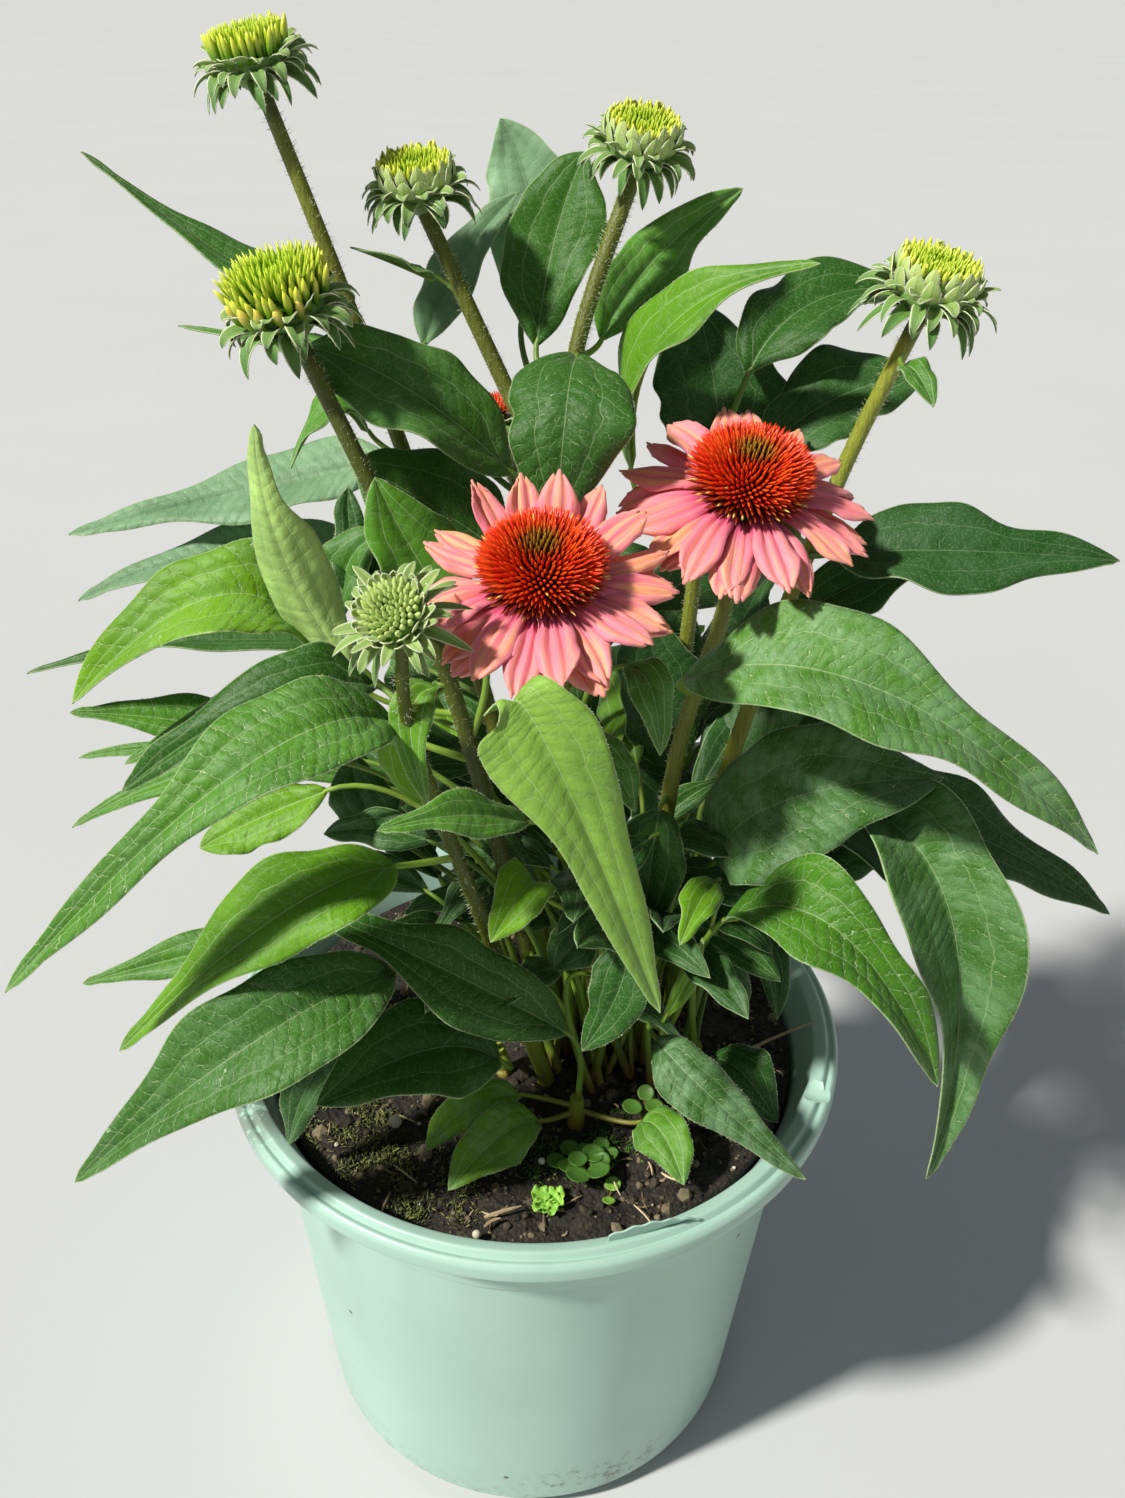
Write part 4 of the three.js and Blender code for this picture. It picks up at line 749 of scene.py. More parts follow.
def stalk_line(foot, row):
    """The stalk from the stem, and on under the blade as its rib."""
    base = np.asarray(row[1], float)
    _, first = arch(row[1], row[2], row[3], [0])
    pull = base - first[0] * np.linalg.norm(base - foot) * 0.35
    t = np.linspace(0, 1, 13)[:, None]
    stalk = (1 - t) ** 2 * foot + 2 * t * (1 - t) * pull + t ** 2 * base
    along = np.linspace(0.04, 0.92, 20)
    centre, _, upward = leaf_frame(row, along)
    thick = min(1.0, 0.6 + row[4] * 0.016)
    rib_radii = (0.68 * (1 - along) ** 0.8 + 0.1) * thick
    rib = centre - upward * (rib_radii + 0.15 + 0.5 * (1 - along))[:, None]
    radii = np.concatenate([np.linspace(1.15, 0.8, 13) * thick, rib_radii])
    return np.concatenate([stalk, rib]), radii, max(0.0, row[6])


# %% [markdown]
# ## Bud and flower finishes
# Bracts are grey-green with a woolly white edge. Florets are waxy, lime, and yellower at their tips. The cone's
# chaff spines are stiff and shiny: maroon at the foot, orange-brown on the shaft, red at the tip, and green in
# the middle of the cone where they are youngest. Each of these reads how far along its own length a point lies.

# %% Bract and floret finishes
def bract_finish():
    material, add = new_material("woolly_bract", 0.6, subsurface_weight=0.15, subsurface_scale=0.001, sheen_weight=0.1)
    blade, tone = add("fact", attribute_name="blade"), add("fact", attribute_name="tone")
    u, v, _ = add("split", blade)
    side = add("size", u)
    wool = add("noise", add("moved", add("scaled", blade, (5.0, 9.0, 0.0)), tone), 2.2, 4.0)
    body = add("mix", v, "#6c9a3a", "#3f7228")
    body = add("mix", add("split", tone)[0], body, "#bcd27c")
    body = add("mix", add("step", wool, 0.5, 0.8, 0.0, 0.3), body, "#a3b97c")
    hem = add("times", add("step", side, 0.78, 0.98), add("step", wool, 0.2, 0.5, 0.55, 0.95))
    body = add("mix", hem, body, "#dbe3c0")
    # painted shade: a darker green down the middle of each bract, where its V-shaped channel is shaded
    body = add("mix", add("step", side, 0.02, 0.22, 0.35, 0.0), body, "#36602c")
    return dress(material, body, wool, 0.5, 0.0004)


def floret_finish():
    material, add = new_material("waxy_floret", 0.38, subsurface_weight=0.3, subsurface_scale=0.0015,
                                 subsurface_radius=(0.8, 1.0, 0.15))
    v = add("split", add("fact", attribute_name="blade"))[1]
    shade, peach, chance = add("split", add("fact", attribute_name="tone"))
    low, tip = add("mix", chance, "#4d7f10", "#76a81a"), add("mix", shade, "#a9cc22", "#dcdd50")
    body = add("mix", add("step", v, 0.25, 0.95), low, tip)
    warm = add("times", peach, add("step", v, 0.2, 0.7, 0.3, 1.0))
    return dress(material, add("mix", warm, body, "#eab06a"))


# %% Spine and petal finishes
def spine_finish():
    material, add = new_material("cone_chaff", 0.33, subsurface_weight=0.3, subsurface_scale=0.001,
                                 subsurface_radius=(1.0, 0.3, 0.1))
    v = add("split", add("fact", attribute_name="blade"))[1]
    apex, pollen, chance = add("split", add("fact", attribute_name="tone"))
    shaft, tip = add("mix", chance, "#c8300a", "#e4601a"), add("mix", chance, "#fd260a", "#ff5c22")
    body = add("mix", add("step", v, 0.04, 0.3), "#3a0a04", shaft)
    body = add("mix", add("step", v, 0.5, 0.9), body, tip)
    # towards the foot of the cone the spines turn darker and browner, and at its crown the young ones are green
    body = add("mix", add("step", apex, 0.04, 0.48, 0.92, 0.0), body, add("mix", v, "#360b08", "#933a16"))
    crown = add("mix", add("step", apex, 0.91, 0.995), "#b04a14", "#94962c")
    body = add("mix", add("step", apex, 0.86, 0.985, 0.0, 0.8), body, add("mix", v, "#4a2c0c", crown))
    dusty = add("times", pollen, add("step", v, 0.55, 0.8))
    return dress(material, add("mix", dusty, body, "#f0cf6a"))


def petal_finish():
    material, add = new_material("ray_petal", 0.55, subsurface_weight=0.3, subsurface_scale=0.0015, sheen_weight=0.15,
                                 subsurface_radius=(1.0, 0.5, 0.35))
    blade, tone = add("fact", attribute_name="blade"), add("fact", attribute_name="tone")
    u, v, _ = add("split", blade)
    warmth, patch, _ = add("split", tone)
    lengthwise = add("moved", add("scaled", blade, (3.4, 0.7, 0.0)), add("scaled", tone, (7.0, 0.0, 40.0)))
    streak, fibre = add("noise", lengthwise, 1.5, 3.0), add("noise", lengthwise, 9.0, 2.0)
    body = add("mix", add("step", v, 0.0, 0.4), "#d83e78", "#ef7a8e")
    body = add("mix", add("step", v, 0.45, 1.0, 0.0, 0.6), body, "#f5a098")
    peach = add("times", add("step", streak, 0.42, 0.62), add("step", v, 0.15, 0.6, 0.15, 1.0))
    peach = add("times", peach, add("plus", warmth, 0.25), use_clamp=True)
    body = add("mix", peach, body, "#f8aa76")
    body = add("mix", add("step", add("size", u), 0.72, 1.0, 0.0, 0.5), body, "#ea7a9c")
    body = add("mix", add("step", fibre, 0.45, 0.8, 0.0, 0.3), body, "#d85c74")
    body = add("mix", patch, body, "#ee5a22")
    return dress(material, body, add("plus", add("times", streak, 0.8), add("times", fibre, 0.5)), 0.45, 0.0005)


woolly_bract, waxy_floret, cone_chaff, ray_petal = bract_finish(), floret_finish(), spine_finish(), petal_finish()
cone_bed, _ = new_material("cone_bed", 0.95, specular_ior_level=0.05, base_color=colour("#2a0b06"))

# %% [markdown]
# ## Bracts and the green seat
# Under every head sits a shallow green cup, and from it grow layers of narrow bracts that curve out, the lowest
# of them turned right down. One small sheet is the blank for all of them. The cup is a cylinder whose rings are
# drawn in to the profile of the CAD's cup.

# %% Bracts and the green seat
bract_blank = sheet_blank(6, 9)


def head_matrix(end, face, size):
    """Turns and scales what is modelled upright at the origin onto the end of a stem."""
    turn = Vector((0, 0, 1)).rotation_difference(Vector(face).normalized()).to_matrix()
    return np.array(turn) * size, np.asarray(end, float)


def set_on(points, seat):
    turn, end = seat
    return points @ turn.T + end


def cup_part(seat, profile, sides=24, number=0, tone=(0.15, 0.5, 0.5)):
    """A round cup, flat on top, from pairs of radius and height."""
    blank = spindle_blank(sides, [1.0] * len(profile))
    points = blank["points"].copy()
    step = np.round(points[:, 2] * (len(profile) - 1)).astype(int).clip(0, len(profile) - 1)
    radius, height = np.array(profile, float).T
    points[:, :2] *= radius[step][:, None]
    points[:, 2] = height[step]
    # with u = 0 the whole cup lies on the bract finish's middle line and takes its painted groove shade
    return blank, set_on(points, seat), number, {"blade": (0.0, 0.3, 1.0), "tone": tone}


def bract_part(seat, angle, stations, width, shade, random, stray=1.0):
    """One bract through three stations of radius and height, V-shaped across, with a blunt point."""
    u, v = bract_blank["points"][:, 0], bract_blank["points"][:, 1]
    centre, along = arch(*[(r, 0, z) for r, z in stations], v)
    half = width / 2 * np.clip(np.sin(math.pi * (0.22 + 0.78 * v)), 0, 1) ** 0.62 + 0.06
    up_way = np.stack([-along[:, 2], 0 * v, along[:, 0]], 1)
    twist = stray * random.uniform(-0.35, 0.35)
    points = centre + up_way * ((0.3 * np.abs(u) + twist * u) * half)[:, None]
    points[:, 1] += u * half + stray * random.uniform(-1.4, 1.4) * v ** 2
    points = np.stack([*turned(points[:, 0], points[:, 1], angle), points[:, 2]], 1)
    facts = {"blade": np.stack([u, v, half], 1), "tone": (shade, 0.5, random.random() * 9)}
    return bract_blank, set_on(points, seat), 0, facts


# layers of bracts as (how many, stations, width, shade), from the lowest up, and the scales above them
BRACTS = {
    "open": [(16, [(5.5, 0.2), (11.2, 0.8), (14.8, -3.6)], 3.5, 0.0),
             (17, [(6.0, 2.0), (12.2, 3.6), (15.8, 1.2)], 3.3, 0.15),
             (16, [(6.5, 3.8), (11.6, 6.2), (14.2, 6.4)], 3.1, 0.35)],
    "closed": [(10, [(5.5, 0.6), (11.6, 1.4), (18.0, -5.6)], 3.5, 0.15),
               (11, [(6.0, 2.6), (12.6, 5.0), (17.6, 3.4)], 3.3, 0.4),
               (10, [(6.5, 4.6), (11.2, 8.2), (15.0, 10.4)], 3.1, 0.55)],
}
SCALES = {
    "scaled": [(14, [(8.5, 3.6), (10.5, 6.9), (10.3, 10.2)], 4.7, 0.75),
               (15, [(8.1, 5.6), (9.8, 9.0), (9.3, 12.2)], 3.8, 1.0)],
    "closed": [(13, [(8.2, 3.8), (10.6, 6.6), (11.8, 9.0)], 3.6, 0.7),
               (13, [(7.6, 5.6), (9.6, 8.6), (10.2, 11.0)], 3.2, 0.95)],
}
REACH = {"brush": 0.84, "closed": 0.98}


def involucre(seat, random, style):
    """The cup and the bracts of a bud: outer ones curled back, and on the young ones scales that hug the side."""
    cup = cup_part(seat, [(0.05, -3), (2.6, -2.4), (6.2, 0.6), (9, 3.2), (9, 5.4), (7, 5.6), (0.05, 5.6)])
    bracts = []
    for stray, layers in ((1.3, BRACTS.get(style, BRACTS["open"])), (0.4, SCALES.get(style, []))):
        for layer, (count, (foot, bend, tip), width, shade) in enumerate(layers):
            for k in range(count):
                angle = (k + layer / 2 + 0.35 * random.uniform(-1, 1) * stray) / count * TURN
                reach = (1 + stray * random.uniform(-0.1, 0.12)) * (REACH.get(style, 0.94) if stray > 1 else 1)
                droop = stray * random.uniform(-1.8, 1.4)
                moved = [foot, (bend[0] * (reach + 1) / 2, bend[1] + droop / 3), (tip[0] * reach, tip[1] + droop)]
                bracts.append(bract_part(seat, angle, moved, width * random.uniform(0.85, 1.15), shade, random, stray))
    return cup, bracts


# %% [markdown]
# ## Hairs
# Leaves and bracts have a fringe of fine white hairs, and the stems a fuzz of them. A hair is a three-sided spike
# with a foot 0.16 mm across. Particle hair would be quicker to comb, but it isn't a mesh, so the hairs are copies
# of the spike.

# %% Hairs
HAIR_RADIUS = 0.08
FUZZ_PER_MM, FUZZ_FROM, FUZZ_FOOT = 6, 180, 1.995
bpy.ops.mesh.primitive_cone_add(vertices=3, radius1=1, radius2=0, depth=1, location=(0, 0, 0))
hair_blank = take_blank()
hair_blank["points"][:, 2] += 0.5
hairs = []


def between(line, t):
    """Points at fractional places along a line, and the direction that it runs there."""
    low = t.astype(int)
    share = (t - low)[:, None]
    return line[low] * (1 - share) + line[low + 1] * share, unit(line[low + 1] - line[low])


def edge_hairs(parts, random, per_part, length):
    """A fringe along both edges of sheets, pointing away from the rib and a little forward."""
    bases, axes = [], []
    for blank, placed, _, _ in parts:
        u, v = blank["points"][:, 0], blank["points"][:, 1]
        for edge in (-1, 1):
            rim = np.nonzero(u * edge > 0.999)[0]
            rim = rim[np.argsort(v[rim])]
            rib = [np.nonzero((np.abs(u) < 1e-3) & (np.abs(v - v[i]) < 1e-4))[0][0] for i in rim]
            t = np.sort(random.uniform(0.05, 0.97, per_part)) * (len(rim) - 1)
            base, along = between(placed[rim], t)
            out = unit((placed[rim] - placed[rib])[t.astype(int)]) + 0.5 * along
            bases.append(base)
            axes.append(out + random.normal(0, 0.35, out.shape))
    bases, axes = np.concatenate(bases), np.concatenate(axes)
    hairs.append((bases, axes, length * random.uniform(0.6, 1.3, len(bases))))


def stem_hairs(line, random, per_step):
    """Hairs all round a stem, their feet just under its skin, leaning a little upwards. Near the soil are none."""
    line = line[line[:, 2] >= FUZZ_FROM]
    count = int(len(line) * per_step)
    if len(line) < 3 or not count:
        return
    centre, along = between(line, random.uniform(0, len(line) - 1.001, count))
    any_way = random.normal(0, 1, (count, 3))
    out = unit(any_way - (any_way * along).sum(1, keepdims=True) * along)
    axes = out + 0.25 * along + random.normal(0, 0.25, out.shape)
    hairs.append((centre + out * FUZZ_FOOT, axes, random.uniform(0.9, 2.1, count)))


# %% [markdown]
# ## Florets of the buds
# A bud's top is packed with pointed florets in the golden spiral that all daisies share, round a small dimple.
# Round them stand rings of broader tongues, the petals to be. A six-sided spike with a soft point is the blank,
# and each copy has its own lean, length and shade.

# %% Florets of the buds
GOLDEN = math.pi * (3 - math.sqrt(5))
floret_blank = spindle_blank(6, (0.7, 1.0, 0.92, 0.6, 0.08))
tongue_blank = spindle_blank(6, (0.6, 0.9, 1.0, 0.95, 0.7, 0.12))


def along_fact(blank):
    z = blank["points"][:, 2]
    return np.stack([0 * z, z, 0 * z + 1], 1)


def ring(angles):
    """Outward directions at these angles round a head."""
    return np.stack([np.cos(angles), np.sin(angles), 0 * angles], 1)


# how many, radius of the bed, its rise, length of a floret in the middle and what the edge adds, lean, widths,
# yellowness
FLORETS = {
    "crown": (150, 7.4, 3.2, 2.8, 2.8, 0.3, (0.34, 0.18), (0.15, 0.4)),
    "scaled": (140, 7.2, 4.2, 1.8, 2.6, 0.3, (0.34, 0.2), (0.25, 0.5)),
    "brush": (185, 8.2, 4.6, 3.0, 3.5, 0.5, (0.46, 0.16), (0.05, 0.6)),
    "closed": (84, 7.2, 5.0, 2.6, 1.2, 0.6, (0.56, 0.42), (0.95, 0.2)),
    "young": (150, 7.8, 5.0, 2.2, 2.0, 0.9, (0.5, 0.0), (0.65, -0.3)),
}
# rings of tongues: how many, radius, height of the foot, outward tilt, length, width, yellowness, first and last angle
TONGUES = {
    "crown": [(29, 8.5, 4.6, 0.18, 7.6, 0.86, 0.75, 0, 360), (26, 7.8, 5.2, 0.06, 6.9, 0.72, 0.5, 4, 364)],
    "scaled": [(26, 8.4, 6.6, 0.08, 5.8, 0.76, 0.85, 0, 360), (24, 7.7, 6.8, 0.0, 5.3, 0.68, 0.6, 8, 368)],
    "brush": [(26, 8.6, 4.6, 0.4, 6.9, 0.82, 0.95, 0, 360), (22, 8.2, 5.0, 0.22, 7.2, 0.72, 0.7, 7, 367),
              (5, 9.4, 4.2, 0.3, 4.8, 1.1, 1.0, -150, -60)],
}


def floret_parts(seat, random, style):
    """Florets as parts on a head whose seat ends at 5.6 mm."""
    parts = []
    # the closed bud's florets wear the bract finish off its middle line, so without its painted groove shade and hem
    beside = [0.5, 0, 0] if style == "closed" else [0, 0, 0]

    def add(blank, bases, axes, widths, lengths, tone):
        many, placed = stamped(blank, bases, axes, widths, lengths, random.uniform(0, 6.28, len(bases)))
        facts = {"blade": along_fact(many) + beside, "tone": np.repeat(tone, len(blank["points"]), axis=0)}
        parts.append((many, set_on(placed, seat), 0, facts))

    count, bed, rise, short, longer, lean, widths, yellow = FLORETS[style]
    i = np.arange(count)
    reach = np.sqrt((i + 0.5) / count)
    out = ring(i * GOLDEN)
    crater = np.exp(-((reach / 0.3) ** 2))
    foot = 5.6 + rise * np.sqrt(np.clip(1 - (reach * 0.92) ** 2, 0, 1)) - 0.3 * rise * crater
    bases = out * (bed * reach)[:, None] + np.stack([0 * i, 0 * i, foot], 1)
    axes = out * (lean * reach ** 2 - 0.35 * crater)[:, None] + [0, 0, 1] + random.normal(0, 0.05, (count, 3))
    length = short + longer * reach ** 1.4 + random.uniform(-0.3, 0.4, count)
    tone = np.stack([yellow[0] + yellow[1] * reach ** 2, 0 * i, random.random(count)], 1)
    add(floret_blank, bases, axes, widths[0] + widths[1] * reach, length, tone)

    for number, radius, low, tilt, long, wide, yellowness, first, last in TONGUES.get(style, []):
        k = np.radians(np.linspace(first, last, number, endpoint=last - first < 360))
        k += random.uniform(-0.06, 0.06, number)
        out = ring(k)
        axes = out * (tilt + random.uniform(-0.09, 0.09, number))[:, None] + [0, 0, 1]
        axes += ring(k + math.pi / 2) * random.normal(0, 0.06, number)[:, None]
        peach = random.uniform(0.2, 0.45, number) * (last - first < 360)
        tone = np.stack([np.full(number, yellowness), peach, random.random(number)], 1)
        widths, lengths = wide * random.uniform(0.85, 1.15, number), long * random.uniform(0.86, 1.1, number)
        add(tongue_blank, out * radius + [0, 0, low], axes, widths, lengths, tone)
    # a low dome closes the bed that the florets stand in
    dome = cup_part(seat, [(7.8, 5.5), (7.8, 6.6), (6.4, 8.0), (3.6, 9.0), (0.05, 9.4)], 20, 0, (0.2, 0, 0.2))
    # u = 0 gives the closed bud's dome the bract finish's painted groove shade
    dome[3]["blade"] = (0, 0, 1)
    return [*parts, dome]


# %% [markdown]
# ## The open flowers: spiny cone
# The cone is a low dome of close-set stiff spines, again in the golden spiral: 700 of them, each about 5 mm long
# and pointing outwards and a little up. Near the crown they are short. A few at the foot carry yellow pollen.

# %% Spiny cone
SPINES = 700
spine_blank = spindle_blank(5, (0.9, 1.0, 0.85, 0.55, 0.06))
BLOOM = dict(cone_radius=13, cone_height=7.5, cone_depth=15, cone_foot=105, seat=10, pin=4.4, ring_low=2.9,
             ring_high=5.7, cone_low=6.3, rays=18, ray_start=9.5, ray_length=23, ray_width=9.2)


def cone_parts(seat, random):
    """The spines, and the dark bed that they stand in."""
    bed_radius, bed_rise, bed_depth = (0.86 * BLOOM[k] for k in ("cone_radius", "cone_height", "cone_depth"))
    cut = math.cos(math.radians(BLOOM["cone_foot"]))
    widest = BLOOM["cone_low"] - BLOOM["cone_depth"] * cut

    def height(c):
        return widest + np.where(np.asarray(c) > 0, bed_rise, bed_depth) * c

    i = np.arange(SPINES)
    c = 1 - (i + 0.5) / SPINES * (1 - cut)
    out = ring(i * GOLDEN) * np.sqrt(1 - c * c)[:, None]
    upright = np.array([[0, 0, 1]])
    bases = bed_radius * out + height(c)[:, None] * upright
    axes = unit(out + c[:, None] * upright) + [0, 0, 0.35] + random.normal(0, 0.04, (SPINES, 3))
    lengths = (5.2 - 2.4 * np.clip(c, 0, 1) ** 4) * random.uniform(0.9, 1.08, SPINES)
    widths = 0.52 - 0.12 * np.clip(c, 0, 1) ** 2
    many, placed = stamped(spine_blank, bases, axes, widths, lengths, random.uniform(0, 6.28, SPINES))
    pollen = random.random(SPINES) < np.where(c < 0.12, 0.14, 0.01)
    tone = np.stack([(c - cut) / (1 - cut), pollen, random.random(SPINES)], 1)
    facts = {"blade": along_fact(many), "tone": np.repeat(tone, len(spine_blank["points"]), axis=0)}
    profile = [(max(0.05, bed_radius * math.sqrt(max(0, 1 - k * k))), float(height(k)))
               for k in np.linspace(cut, 1, 12)]
    return [(many, set_on(placed, seat), 0, facts), cup_part(seat, profile, 28, 1)]


# %% [markdown]
# ## The open flowers: ray petals
# Each petal is a soft strap, narrow where it leaves the cone, widest near its end, with three low ribs along it
# and three soft teeth at the tip. It is flat under the cone and then turns up or down by its own pitch.
# The CAD draws the same petals with the same random numbers, so angle and pitch agree with it.

# %% Ray petals
petal_blank = sheet_blank(14, 24)


def random_from(seed):
    """The same simple generator as the part's source, so that the petals fall in the same places."""
    state = seed
    while True:
        state = (state * 16807) % 2147483647
        yield state / 2147483647


def petal_part(seat, angle, pitch, layer, random, patch=0.0):
    u, v = petal_blank["points"][:, 0], petal_blank["points"][:, 1]
    side = np.abs(u)
    # the way that the petal takes outwards, as points along it
    steps = np.linspace(0, 1, 61)
    rise = np.clip((steps - 0.1) / 0.4, 0, 1)
    curl = random.uniform(-16, 18)
    bend = np.radians(pitch * rise * rise * (3 - 2 * rise) - 12 * steps - curl * steps ** 3)
    step_length = BLOOM["ray_length"] * random.uniform(0.95, 1.06) / 60
    path_r, path_z = (np.concatenate([[0], np.cumsum(way(bend[1:]))]) * step_length for way in (np.cos, np.sin))
    path_r += BLOOM["ray_start"]
    path_z += (BLOOM["ring_low"] + BLOOM["ring_high"]) / 2 + layer * 0.8
    # the tip: a middle tooth, a notch on each side of it and rounded shoulders
    notch = random.uniform(0.04, 0.12)
    notch = notch * np.exp(-(((side - 0.36) / 0.12) ** 2)) * np.clip((v - 0.6) / 0.4, 0, 1)
    reach = v * (1 - 0.15 * side ** 2.4 - notch)
    half = np.interp(v, [0, 0.2, 0.45, 0.7, 0.88, 1], [0.44, 0.62, 0.88, 1.0, 0.8, 0.4]) * BLOOM["ray_width"] / 2
    half = half * random.uniform(0.94, 1.16) * (1 + 0.05 * np.sin(14 * v + random.uniform(0, 6.28) + np.sign(u)))
    radial, height, slope = (np.interp(reach, steps, values) for values in (path_r, path_z, bend))
    # low ribs, a dish, a twist and a wave
    lift = 0.55 * np.cos(side * 3 * math.pi) * np.clip(v / 0.15, 0, 1) * np.clip((1.02 - v) / 0.15, 0, 1)
    lift += random.uniform(-1.3, 1.5) * side ** 2 * np.clip(v / 0.4, 0, 1)
    lift += random.uniform(-0.34, 0.34) * v * u * half
    lift += 0.5 * side ** 2 * np.sin(9 * v + random.uniform(0, 6.28) + np.sign(u))
    sideways = u * half + random.uniform(-1.8, 1.8) * v ** 2
    x, y = turned(radial - np.sin(slope) * lift, sideways, angle)
    points = np.stack([x, y, height + np.cos(slope) * lift], 1)
    tone = np.broadcast_to((random.uniform(0.1, 1.0), 0.0, random.random()), points.shape).copy()
    tone[:, 1] = patch * np.exp(-(((v - 0.72) / 0.2) ** 2) - ((u + 0.1) / 0.45) ** 2)
    return petal_blank, set_on(points, seat), 0, {"blade": np.stack([u, v, half], 1), "tone": tone}


def ray_parts(seat, head, number, random):
    draw = random_from(17 + number)
    parts = []
    for k in range(BLOOM["rays"]):
        angle = (k + 0.4 * (next(draw) - 0.5)) / BLOOM["rays"] * TURN
        backward = (1 + math.sin(angle)) / 2
        pitch = head["drop"] + (head["lift"] - head["drop"]) * backward ** 4 + 8 * (next(draw) - 0.5) - 5 * (k % 2)
        patch = 0.9 if (number, k) == (1, 11) else 0.0
        parts.append(petal_part(seat, angle, pitch, -1 if k % 2 else 1, random, patch))
    # a few petals more, low in the ring, close the gaps at the front and the sides
    for degrees in (-172, -128, -96, -62, -24, 14):
        parts.append(petal_part(seat, math.radians(degrees + random.uniform(-5, 5)), head["drop"] - 7, -1.6, random))
    return parts


# %% [markdown]
# ## Growing the shoots
# Now each shoot is put together from its row of the plan: tubes for the stem, its forks and the leaf stalks,
# blades thickened to 0.4 mm with a paler underside, and a head on each end. Florets, petals and cones stay
# pieces of their own, as in the CAD, and the rest is joined into one piece per shoot. The heads are numbered in
# the order of the CAD: forks before the shoot's own head.

# %% Growing the heads
BLOOM_BRACTS = 22
BLADE_THICK, BRACT_THICK, PETAL_THICK = 0.4, 0.22, 0.35
counts = {"bud": 0, "bloom": 0, "young": 0}


def grow_head(head, end, random, sheets, cups):
    """Adds a head's bracts and cup to its shoot, and makes its florets or its cone and petals as pieces."""
    seat = head_matrix(end, head["face"], head["size"])
    counts[head["kind"]] += 1
    number = counts[head["kind"]]
    if head["kind"] == "bloom":
        wide, pin = BLOOM["seat"], BLOOM["pin"]
        cups.append(cup_part(seat, [(0.05, -3), (2.6, -2.4), (wide, 1.6), (wide, 2.6), (pin, 2.7), (pin, 6.0),
                                    (0.05, 6.0)]))
        for k in range(BLOOM_BRACTS):
            angle = (k + 0.4 * random.random()) / BLOOM_BRACTS * TURN
            tip = (15.6 + random.uniform(-1, 1), -4.6 + random.uniform(-2, 2))
            sheets.append(bract_part(seat, angle, [(6, 0.2), (12, -0.4), tip], 3.4, 0.1, random))
        petals = assemble(f"petals_of_bloom_{number}", ray_parts(seat, head, number, random), [ray_petal])
        hand_over(thicken(petals, PETAL_THICK), "rays", f"bloom_rays_{number}")
        cone = assemble(f"spiny_cone_{number}", cone_parts(seat, random), [cone_chaff, cone_bed])
        hand_over(cone, "cone", f"bloom_cone_{number}")
        return
    style = head["style"]
    cup, bracts = involucre(seat, random, style)
    cups.append(cup)
    sheets.extend(bracts)
    edge_hairs(bracts, random, 8, 0.5 * head["size"])
    florets = floret_parts(seat, random, style)
    if head["kind"] == "young":
        hand_over(assemble("young_orange_cone", florets, [cone_chaff]), "cone", "young_cone")
        return
    skin = woolly_bract if style == "closed" else waxy_floret
    hand_over(assemble(f"florets_of_bud_{number}", florets, [skin]), "florets", f"bud_florets_{number}")


# %% Growing the shoots
LINE_STEPS = 200


def grow_shoot(shoot, s):
    random = np.random.default_rng(100 + s)
    foot = (*shoot["foot"], SOIL_LEVEL + COLLAR)
    main = smooth_line([foot, *shoot["via"], shoot["top"]], LINE_STEPS)
    root = np.linspace((*shoot["foot"], SOIL_LEVEL - 12), foot, 6)[:-1]
    stem = main[::3]
    taper = np.linspace(STEM_FOOT, shoot.get("slim", STEM_TOP), len(stem))
    lines = [(np.concatenate([root, stem]), np.concatenate([np.full(5, STEM_FOOT), taper]), shoot["stem"])]
    sheets, cups, forks = [], [], []
    for fork in shoot.get("forks", []):
        line = smooth_line([at_height(main, fork["start"]), *fork["via"], fork["top"]], LINE_STEPS)
        forks.append(line)
        lines.append((line[::4], np.full(len(line[::4]), STEM_TOP), shoot["stem"]))
        grow_head(fork["head"], fork["top"], random, sheets, cups)
    rows = [(main, row, s + i) for i, row in enumerate(shoot["leaves"])]
    rows += [(forks[0], row, s + i) for i, row in enumerate(shoot.get("fork_leaves", []))]
    blades = [leaf_part(row, index) for _, row, index in rows]
    stalks = [stalk_line(at_height(line, row[0]), row) for line, row, _ in rows]
    if "head" in shoot:
        grow_head(shoot["head"], shoot["top"], random, sheets, cups)
    spacing = np.linalg.norm(main[1] - main[0])
    for line in [main, *forks]:
        stem_hairs(line, random, FUZZ_PER_MM * spacing)
    edge_hairs(blades, random, 50, 0.45)

    pieces = [thicken(assemble("blades", blades, [leaf_top, leaf_under]), BLADE_THICK, 1)]
    if sheets:
        pieces.append(thicken(assemble("bracts", sheets, [woolly_bract]), BRACT_THICK))
    if cups:
        pieces.append(assemble("cups", cups, [woolly_bract]))
    pieces += [tubes("stems", lines, stem_skin, 12), tubes("stalks", stalks, leaf_stalk, 8)]
    hand_over(joined(shoot["name"] + "_foliage", *pieces), "foliage", shoot["name"])


for s, shoot in enumerate(SHOOTS):
    grow_shoot(shoot, s)

# %% [markdown]
# ## Young growth at the crown
# Between the tall stems a crown sends up many thin stalks with small leaves. Most are given a dark green as
# painted shade for the depth of the plant, and a few are bright new ones. They grow from the same leaf blank and fill
# the middle of the plant.

